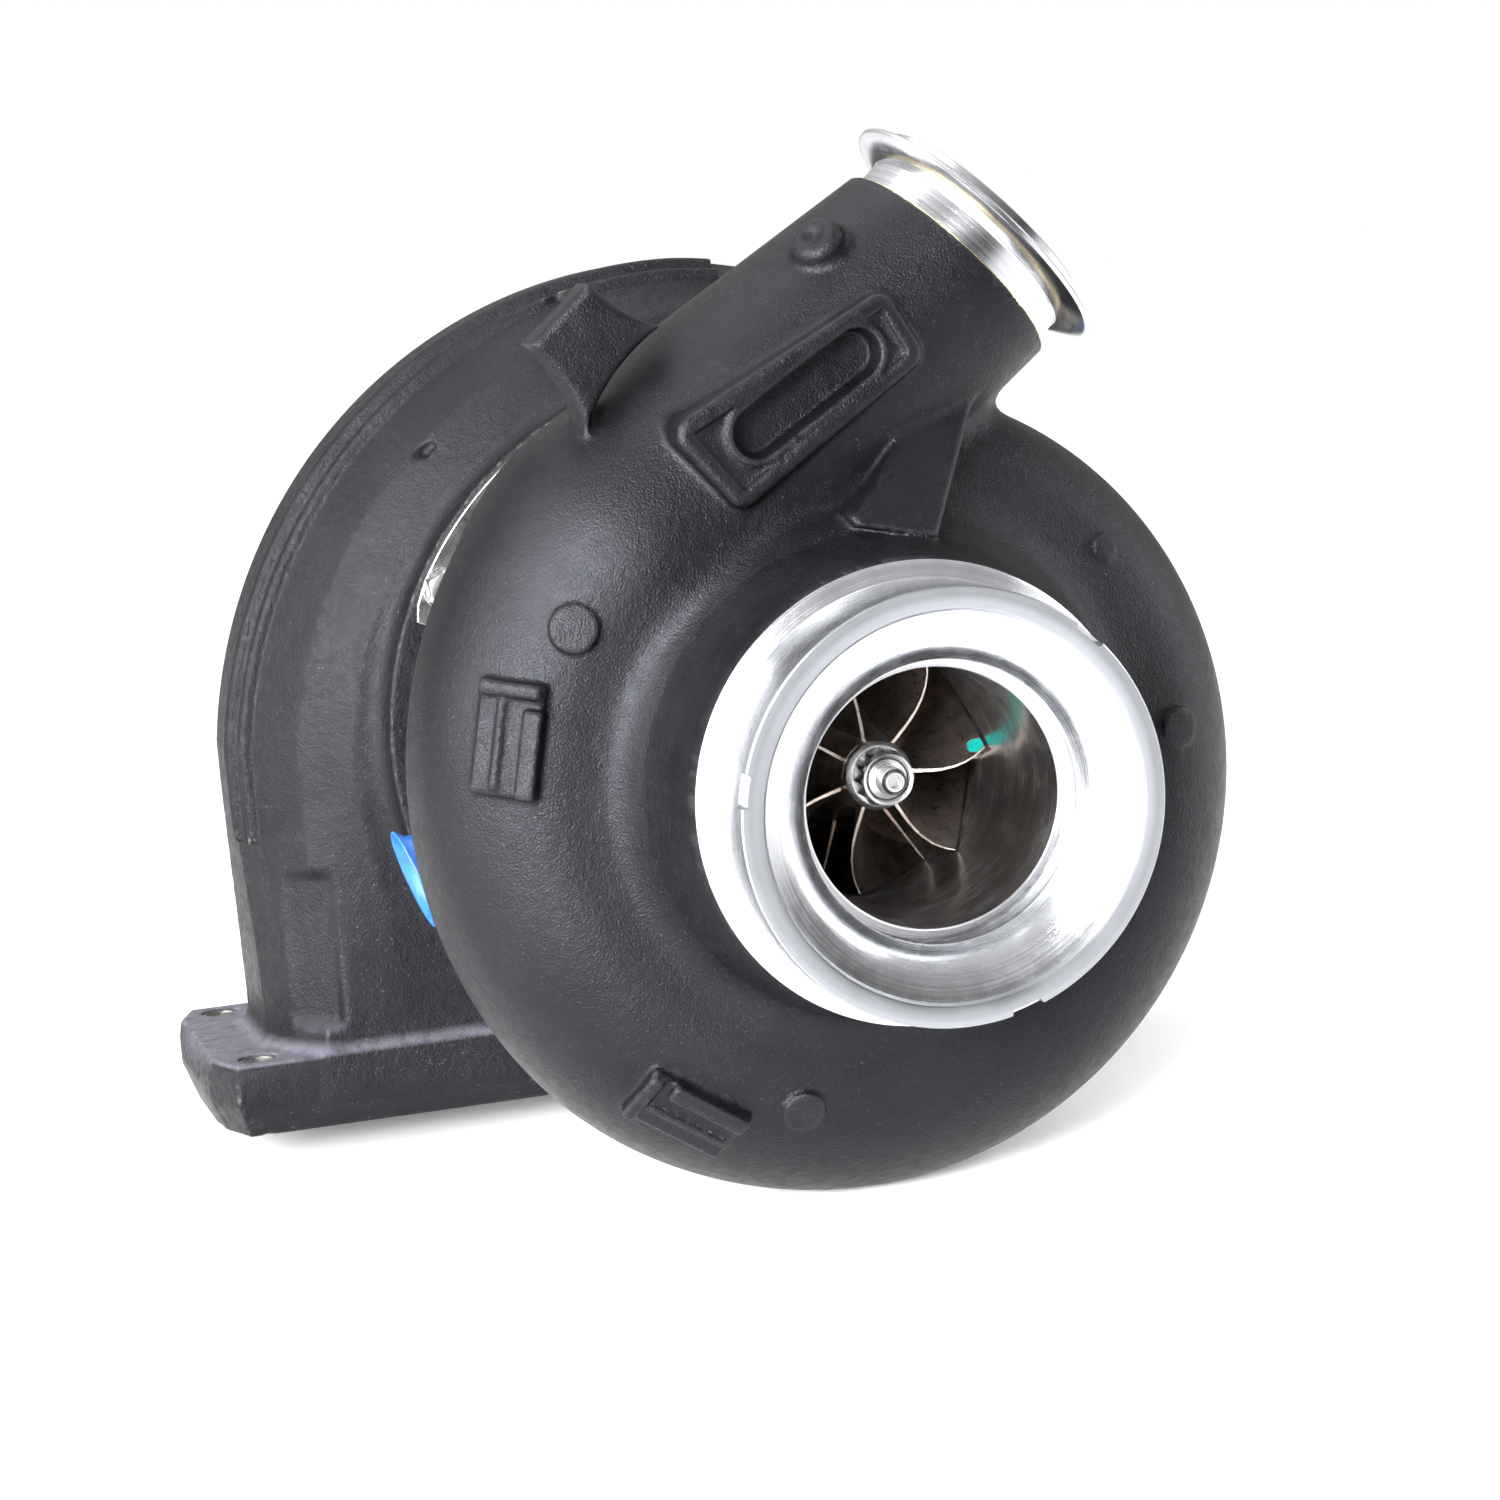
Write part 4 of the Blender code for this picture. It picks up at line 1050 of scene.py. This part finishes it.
class Finish:
    """A Principled material with short ways to add nodes. Its slot is the record's."""

    def __init__(self, name, slot, colour, roughness, metallic=0.0):
        self.material = bpy.data.materials.new(name)
        self.material["slot"] = slot
        self.material.use_nodes = True
        self.tree = self.material.node_tree
        self.shader = self.tree.nodes["Principled BSDF"]
        self.set("Base Color", (*colour, 1))
        self.set("Roughness", roughness)
        self.set("Metallic", metallic)
        self.place = self.node("ShaderNodeTexCoord").outputs["Object"]

    def set(self, socket, value):
        self.shader.inputs[socket].default_value = value

    def node(self, kind, *inputs, **facts):
        return add_node(self.tree, kind, *inputs, **facts)

    def math(self, operation, *inputs):
        return self.node("ShaderNodeMath", *inputs, operation=operation).outputs[0]

    def noise(self, grain, detail, place=None):
        """Noise whose features are about grain millimetres across."""
        scale = 1 / (grain * MM)
        made = self.node("ShaderNodeTexNoise", place or self.place, None, scale, detail, 0.55)
        return made.outputs["Fac"]

    def span(self, value, start, end, low=0.0, high=1.0):
        """Carries a value from start..end to low..high."""
        return self.node("ShaderNodeMapRange", value, start, end, low, high).outputs[0]

    def mix(self, share, first, second):
        """Carries one colour to another. A mix node's colours are its inputs 6 and 7."""
        colours = [(*c, 1) if isinstance(c, tuple) else c for c in (first, second)]
        skipped = [None] * 5
        return self.node("ShaderNodeMix", share, *skipped, *colours, data_type="RGBA").outputs[2]

    def mottle(self, grain, detail, first, second, low=0.3, high=0.7):
        """A colour between two, in patches about grain millimetres across."""
        return self.mix(self.span(self.noise(grain, detail), low, high), first, second)

    def feed(self, socket, value):
        self.tree.links.new(value, self.shader.inputs[socket])

    def rough(self, grain, detail, low, high):
        self.feed("Roughness", self.span(self.noise(grain, detail), 0.3, 0.7, low, high))

    def relief(self, *layers):
        """Adds layers of noise as relief, each with its grain, detail, depth and strength."""
        for grain, detail, depth, strength in layers:
            self.bump(self.noise(grain, detail), depth, strength)

    def bump(self, height, depth, strength):
        """Adds relief, depth being in millimetres."""
        normal = self.shader.inputs["Normal"]
        below = normal.links[0].from_socket if normal.links else None
        made = self.node("ShaderNodeBump", strength, depth * MM, None, height, below)
        self.tree.links.new(made.outputs[0], normal)

    def edges(self, low, high):
        """Nought on flats and one on sharp outward edges."""
        return self.span(self.node("ShaderNodeNewGeometry").outputs["Pointiness"], low, high)

    def vector(self, operation, *inputs):
        return self.node("ShaderNodeVectorMath", *inputs, operation=operation)

    def quiet(self):
        """Dulls a coating's reflections and tints them a little blue."""
        self.set("Specular IOR Level", 0.22)
        self.set("Specular Tint", (0.86, 0.88, 1.0, 1))

    def around(self, origin, axis):
        """Radius and distance along an axis, as a vector that is constant round the axis."""
        seat = DATUM + Vector(origin) * MM
        spot = self.vector("SUBTRACT", self.place, tuple(seat)).outputs[0]
        along = self.vector("DOT_PRODUCT", spot, tuple(axis)).outputs[1]
        shaft = self.vector("SCALE", tuple(axis))
        self.tree.links.new(along, shaft.inputs["Scale"])
        out = self.vector("SUBTRACT", spot, shaft.outputs[0]).outputs[0]
        radius = self.vector("LENGTH", out).outputs[1]
        return self.node("ShaderNodeCombineXYZ", radius, along, 0.0).outputs[0]


def satin_paint():
    """Black satin paint over a sand casting."""
    made = Finish("satin_black_paint", "painted_aluminium", (0.006, 0.006, 0.007), 0.4)
    colour = made.mottle(26, 4, (0.0012, 0.0012, 0.0016), (0.0034, 0.0034, 0.004), 0.35, 0.7)
    specks = made.span(made.noise(0.9, 1), 0.7, 0.78)
    colour = made.mix(specks, colour, (0.035, 0.034, 0.033))
    # Pointy edges are lightened: partly paint worn off the edges, partly a painted highlight where
    # the edges catch the light.
    wear_and_edge_highlight = made.math("MULTIPLY", made.edges(0.515, 0.58), made.span(made.noise(5, 4), 0.3, 0.7))
    colour = made.mix(made.span(wear_and_edge_highlight, 0, 1, 0, 0.4), colour, (0.05, 0.05, 0.052))
    made.feed("Base Color", colour)
    made.rough(4, 5, 0.36, 0.5)
    made.relief((0.65, 2, 0.28, 1.0), (2.2, 3, 0.2, 0.9), (12, 2, 0.3, 0.5))
    made.quiet()
    return made.material


def turbine_iron():
    """Black heat coating over coarse cast iron, with specks of dust, chips, and paler patches on
    upward faces at the foot's height.
    """
    made = Finish("heat_coated_iron", "turbine_iron", (0.006, 0.006, 0.007), 0.5)
    colour = made.mottle(18, 5, (0.0016, 0.0016, 0.002), (0.005, 0.0048, 0.0054))
    specks = made.span(made.noise(1.1, 2), 0.68, 0.76)
    colour = made.mix(specks, colour, (0.06, 0.055, 0.055))
    chips = made.math("MULTIPLY", made.edges(0.53, 0.6), made.span(made.noise(3, 4), 0.52, 0.64))
    colour = made.mix(chips, colour, (0.2, 0.18, 0.16))
    # Upward faces at and just above the foot's top are made paler in patches.
    shape = made.node("ShaderNodeNewGeometry").outputs["Normal"]
    upward = made.node("ShaderNodeSeparateXYZ", shape).outputs["Z"]
    height = made.node("ShaderNodeSeparateXYZ", made.place).outputs["Z"]
    low, high = (DATUM.z + (FOOT_Z + FOOT_THICKNESS + rise) * MM for rise in (1, 12))
    pale_upward_faces = made.math("MULTIPLY", made.span(height, high, low), made.span(upward, 0.3, 0.95))
    pale_upward_faces = made.math("MULTIPLY", pale_upward_faces, made.span(made.noise(5, 5), 0.25, 0.55, 0.35, 0.9))
    made.feed("Base Color", made.mix(pale_upward_faces, colour, (0.12, 0.115, 0.14)))
    made.rough(3, 5, 0.38, 0.6)
    made.relief((0.8, 3, 0.34, 1.0), (3.0, 4, 0.38, 0.9), (14, 2, 0.5, 0.5))
    made.quiet()
    return made.material


def cast_iron():
    """Bare, blasted cast iron with a beige bloom."""
    made = Finish("blasted_cast_iron", "bare_cast_iron", (0.36, 0.33, 0.29), 0.56, 0.55)
    colour = made.mottle(9, 5, (0.27, 0.245, 0.215), (0.46, 0.43, 0.385))
    rust = made.span(made.noise(3.5, 5), 0.62, 0.74)
    made.feed("Base Color", made.mix(made.span(rust, 0, 1, 0, 0.5), colour, (0.24, 0.13, 0.07)))
    made.rough(2, 4, 0.45, 0.68)
    made.relief((0.9, 4, 0.07, 0.8), (3.4, 3, 0.16, 0.6))
    return made.material


def machined(name, slot, colour, roughness, origin=(0, 0, 0), axis=Y, depth=0.006, spread=0.1):
    """Turned metal: fine grooves that run round an axis, a little haze and fine scratches."""
    made = Finish(name, slot, colour, roughness, 1.0)
    lathe_place = made.around(origin, axis)
    fine, broad = made.noise(0.22, 2, lathe_place), made.noise(2.6, 3, lathe_place)
    haze = made.noise(11, 4)
    pale = tuple(min(1, c * 1.12) for c in colour)
    deep = tuple(c * 0.78 for c in colour)
    tone = made.math("ADD", made.math("MULTIPLY", fine, 0.5), made.math("MULTIPLY", broad, 0.5))
    colour = made.mix(made.span(tone, 0.35, 0.65), deep, pale)
    made.feed("Base Color", made.mix(made.span(haze, 0.5, 0.8, 0, 0.3), colour, deep))
    rough = made.math("ADD", made.math("MULTIPLY", fine, 0.5), made.math("MULTIPLY", haze, 0.5))
    made.feed("Roughness", made.span(rough, 0.3, 0.7, roughness - spread, roughness + spread))
    made.bump(fine, depth, 0.8)
    made.bump(broad, depth * 2, 0.5)
    return made.material


def milled(name, slot, colour, roughness):
    """Milled metal with a ball cutter's fine cusps, and a dab of teal paint on one blade."""
    made = Finish(name, slot, colour, roughness, 1.0)
    place = made.around((0, 0, 0), Y)
    parts = made.node("ShaderNodeSeparateXYZ", place)
    steps = made.math("ADD", parts.outputs["X"], made.math("MULTIPLY", parts.outputs["Y"], 0.45))
    ridges = made.math("SINE", made.math("MULTIPLY", steps, 2 * math.pi / (0.85 * MM)))
    haze = made.noise(6, 4)
    pale, deep = tuple(min(1, c * 1.15) for c in colour), tuple(c * 0.7 for c in colour)
    colour = made.mix(made.span(haze, 0.3, 0.7), deep, pale)
    spot = tuple(DATUM + polar(35, 6.3, 84) * MM)
    gap = made.node("ShaderNodeVectorMath", made.place, spot, operation="DISTANCE").outputs[1]
    gap = made.math("ADD", gap, made.math("MULTIPLY", made.noise(1.5, 3), 1.6 * MM))
    dab = made.span(gap, 3.3 * MM, 3.6 * MM, 1, 0)
    made.feed("Base Color", made.mix(dab, colour, (0.0, 0.2, 0.17)))
    made.feed("Metallic", made.span(dab, 0, 1, 1, 0))
    made.rough(1.4, 4, roughness - 0.07, roughness + 0.09)
    made.bump(ridges, 0.012, 0.5)
    made.relief((0.5, 2, 0.008, 0.5))
    return made.material


def plain(name, slot, colour, roughness, metallic, patches, rough, relief):
    """A finish with patches of colour, a varied sheen and one layer of relief."""
    made = Finish(name, slot, colour, roughness, metallic)
    made.feed("Base Color", made.mottle(*patches))
    made.rough(*rough)
    made.relief(relief)
    return made


def cast_alloy():
    patches = (5, 5, (0.15, 0.13, 0.12), (0.3, 0.27, 0.245))
    return plain(
        "cast_turbine_alloy", "turbine_alloy", (0.23, 0.2, 0.18), 0.5, 0.9,
        patches, (2, 4, 0.4, 0.62), (0.7, 4, 0.04, 0.7),
    ).material


def bronze():
    return machined("bearing_bronze_turned", "bearing_bronze", (0.62, 0.4, 0.17), 0.28)


def blue_plastic():
    """Soft translucent moulded plastic."""
    patches = (8, 4, (0.012, 0.1, 0.42), (0.03, 0.18, 0.62))
    made = plain(
        "translucent_blue_plastic", "blue_plastic", (0.02, 0.13, 0.5), 0.36, 0.0,
        patches, (2.5, 4, 0.28, 0.46), (1.2, 3, 0.02, 0.6),
    )
    made.set("Transmission Weight", 0.25)
    made.set("Subsurface Weight", 0.3)
    made.set("Subsurface Scale", 0.004)
    return made.material


def rubber():
    return plain(
        "seal_rubber_black", "seal_rubber", (0.012, 0.012, 0.012), 0.6, 0.0,
        (4, 4, (0.008,) * 3, (0.022,) * 3), (1.5, 4, 0.5, 0.7), (0.6, 3, 0.02, 0.6),
    ).material


# Putting it together


def build():
    coarse = 1.0
    iron = cast_iron()
    paint, coating = satin_paint(), turbine_iron()
    machine = "machined_aluminium"
    bright = machined("turned_aluminium", machine, (0.62, 0.63, 0.655), 0.25)
    # The brushed rim is the turned aluminium with its colour darkened, a painted shade for the dark
    # surroundings its flat face reflects.
    brushed = machined("brushed_rim_painted_shade", machine, (0.34, 0.35, 0.375), 0.36, depth=0.012)
    smoky = machined("polished_bore", machine, (0.66, 0.67, 0.7), 0.24)
    outlet = machined("turned_outlet", machine, (0.7, 0.71, 0.735), 0.22, MOUTH, FLOW)
    edge = machined("bare_paint_edge", machine, (0.78, 0.64, 0.36), 0.3, MOUTH, FLOW)
    steel = machined("turned_steel", "bright_steel", (0.56, 0.55, 0.54), 0.3)
    wheel = milled("milled_wheel", "milled_aluminium", (0.64, 0.54, 0.46), 0.32)
    alloy, plastic = cast_alloy(), blue_plastic()

    for node, field, low, high, step, limit, finish in (
        ("compressor_housing", compressor_casting_field, (-138, 30, -138), (134, 180, 180),
         1.1, 180000, paint),
        ("turbine_housing", turbine_casting_field, (-188, 229, -127), (152, 361, 152),
         1.2, 180000, coating),
        ("bearing_housing", bearing_casting_field, (-106, 146, -106), (106, 278, 106),
         1.3, 120000, iron),
    ):
        cast(node, field, low, high, step * coarse, limit, finish)
    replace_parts(inlet_ring(bright, brushed), "inlet_insert")
    bore_lining(smoky)
    outlet_trim(outlet, edge)
    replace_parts(compressor_wheel(wheel), "compressor_wheel")
    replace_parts(turbine_wheel(alloy, steel), "turbine_wheel_and_shaft")
    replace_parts(nut(steel), "shaft_nut")
    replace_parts(backplate(bright), "compressor_backplate")
    clamp_band(steel)
    flange_clamps(steel)
    foot_threads(steel)
    for part, angle, bore, rim in (
        ("drain", DRAIN_ANGLE, DRAIN_BORE, 17), ("feed", FEED_ANGLE, FEED_BORE, 12.5),
    ):
        made = plug(f"{part}_plug", angle, bore, rim, plastic, f"{part}_cap")
        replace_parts(made, f"oil_{part}_cap")

    hidden = {
        bronze(): ("thrust_bearing", "front_journal_bearing", "rear_journal_bearing"),
        rubber(): ("backplate_o_ring",),
        steel: (
            "oil_baffle", "front_snap_ring", "rear_snap_ring", "heat_shield", "oil_slinger",
            "thrust_collar", "compressor_seal_ring", "turbine_seal_ring",
        ),
    }
    for finish, nodes in hidden.items():
        for name in nodes:
            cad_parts[name].data.materials[0] = finish


# Camera, light and floor


def camera():
    made = bpy.data.cameras.new("camera")
    made.lens = 97.9
    made.sensor_width = 36
    holder = linked("camera", made)
    across, up = Vector((0.9580, -0.2762, -0.0776)), Vector((0.1156, 0.1241, 0.9855))
    across.normalize()
    back = across.cross(up).normalized()
    turn = Matrix((across, back.cross(across), back)).transposed().to_4x4()
    holder.matrix_world = Matrix.Translation(DATUM + Vector((-0.3553, -1.0760, 0.1939))) @ turn
    bpy.context.scene.camera = holder


def softbox(name, place, size, power, target=(0.08, -0.12, 0.13)):
    light = bpy.data.lights.new(name, "AREA")
    light.shape = "RECTANGLE"
    light.size, light.size_y = size
    light.energy = power
    holder = linked(name, light)
    holder.location = place
    holder.rotation_euler = (Vector(target) - Vector(place)).to_track_quat("-Z", "Y").to_euler()
    return light


def studio():
    """A room that is white where it is seen directly, and dimmer in front than at its sides."""
    world = bpy.data.worlds.new("studio")
    bpy.context.scene.world = world
    world.use_nodes = True
    tree = world.node_tree
    tree.nodes.clear()
    place = add_node(tree, "ShaderNodeTexCoord").outputs["Generated"]
    parts = add_node(tree, "ShaderNodeSeparateXYZ", place).outputs
    depth = add_node(tree, "ShaderNodeMapRange", parts["Y"], -0.8, 0.5, 0.07, 0.55).outputs[0]
    height = add_node(tree, "ShaderNodeMapRange", parts["Z"], 0.2, 1.0, 0.0, 0.5).outputs[0]
    total = add_node(tree, "ShaderNodeMath", depth, height).outputs[0]
    seen = add_node(tree, "ShaderNodeLightPath").outputs["Is Camera Ray"]
    strength = add_node(tree, "ShaderNodeMix", seen, None, total, 1.0).outputs["Result"]
    shade = add_node(tree, "ShaderNodeBackground", (1, 1, 1, 1), strength).outputs[0]
    add_node(tree, "ShaderNodeOutputWorld", shade)

    softbox("left_softbox", (-1.3, -0.55, 0.65), (1.3, 1.4), 62)
    softbox("right_softbox", (1.35, -0.3, 0.45), (0.5, 1.1), 11)
    softbox("top_softbox", (-0.15, 0.1, 1.5), (1.1, 0.8), 12)
    inlet = softbox("inlet_softbox", (-0.75, -1.4, 0.5), (0.6, 0.7), 6, (0.105, -0.25, 0.12))
    inlet.spread = math.radians(30)


def floor():
    made = Finish("pale_floor", "", (0.93, 0.93, 0.93), 0.85)
    made.feed("Base Color", made.mottle(60, 3, (0.92, 0.92, 0.92), (0.94, 0.94, 0.94)))
    made.relief((3, 2, 0.02, 0.2))
    made.set("Emission Color", (1, 1, 1, 1))
    away = made.vector("LENGTH", made.place).outputs[1]
    made.feed("Emission Strength", made.span(away, 0.4, 2.2, 0.1, 0.5))
    mesh = bpy.data.meshes.new("floor")
    corners = [(x, y, FLOOR_Z) for x, y in ((-6, -6), (6, -6), (6, 6), (-6, 6))]
    mesh.from_pydata(corners, [], [(0, 1, 2, 3)])
    mesh.materials.append(made.material)
    linked("floor", mesh)


build()
camera()
studio()
floor()
bpy.context.scene.view_settings.view_transform = "Standard"
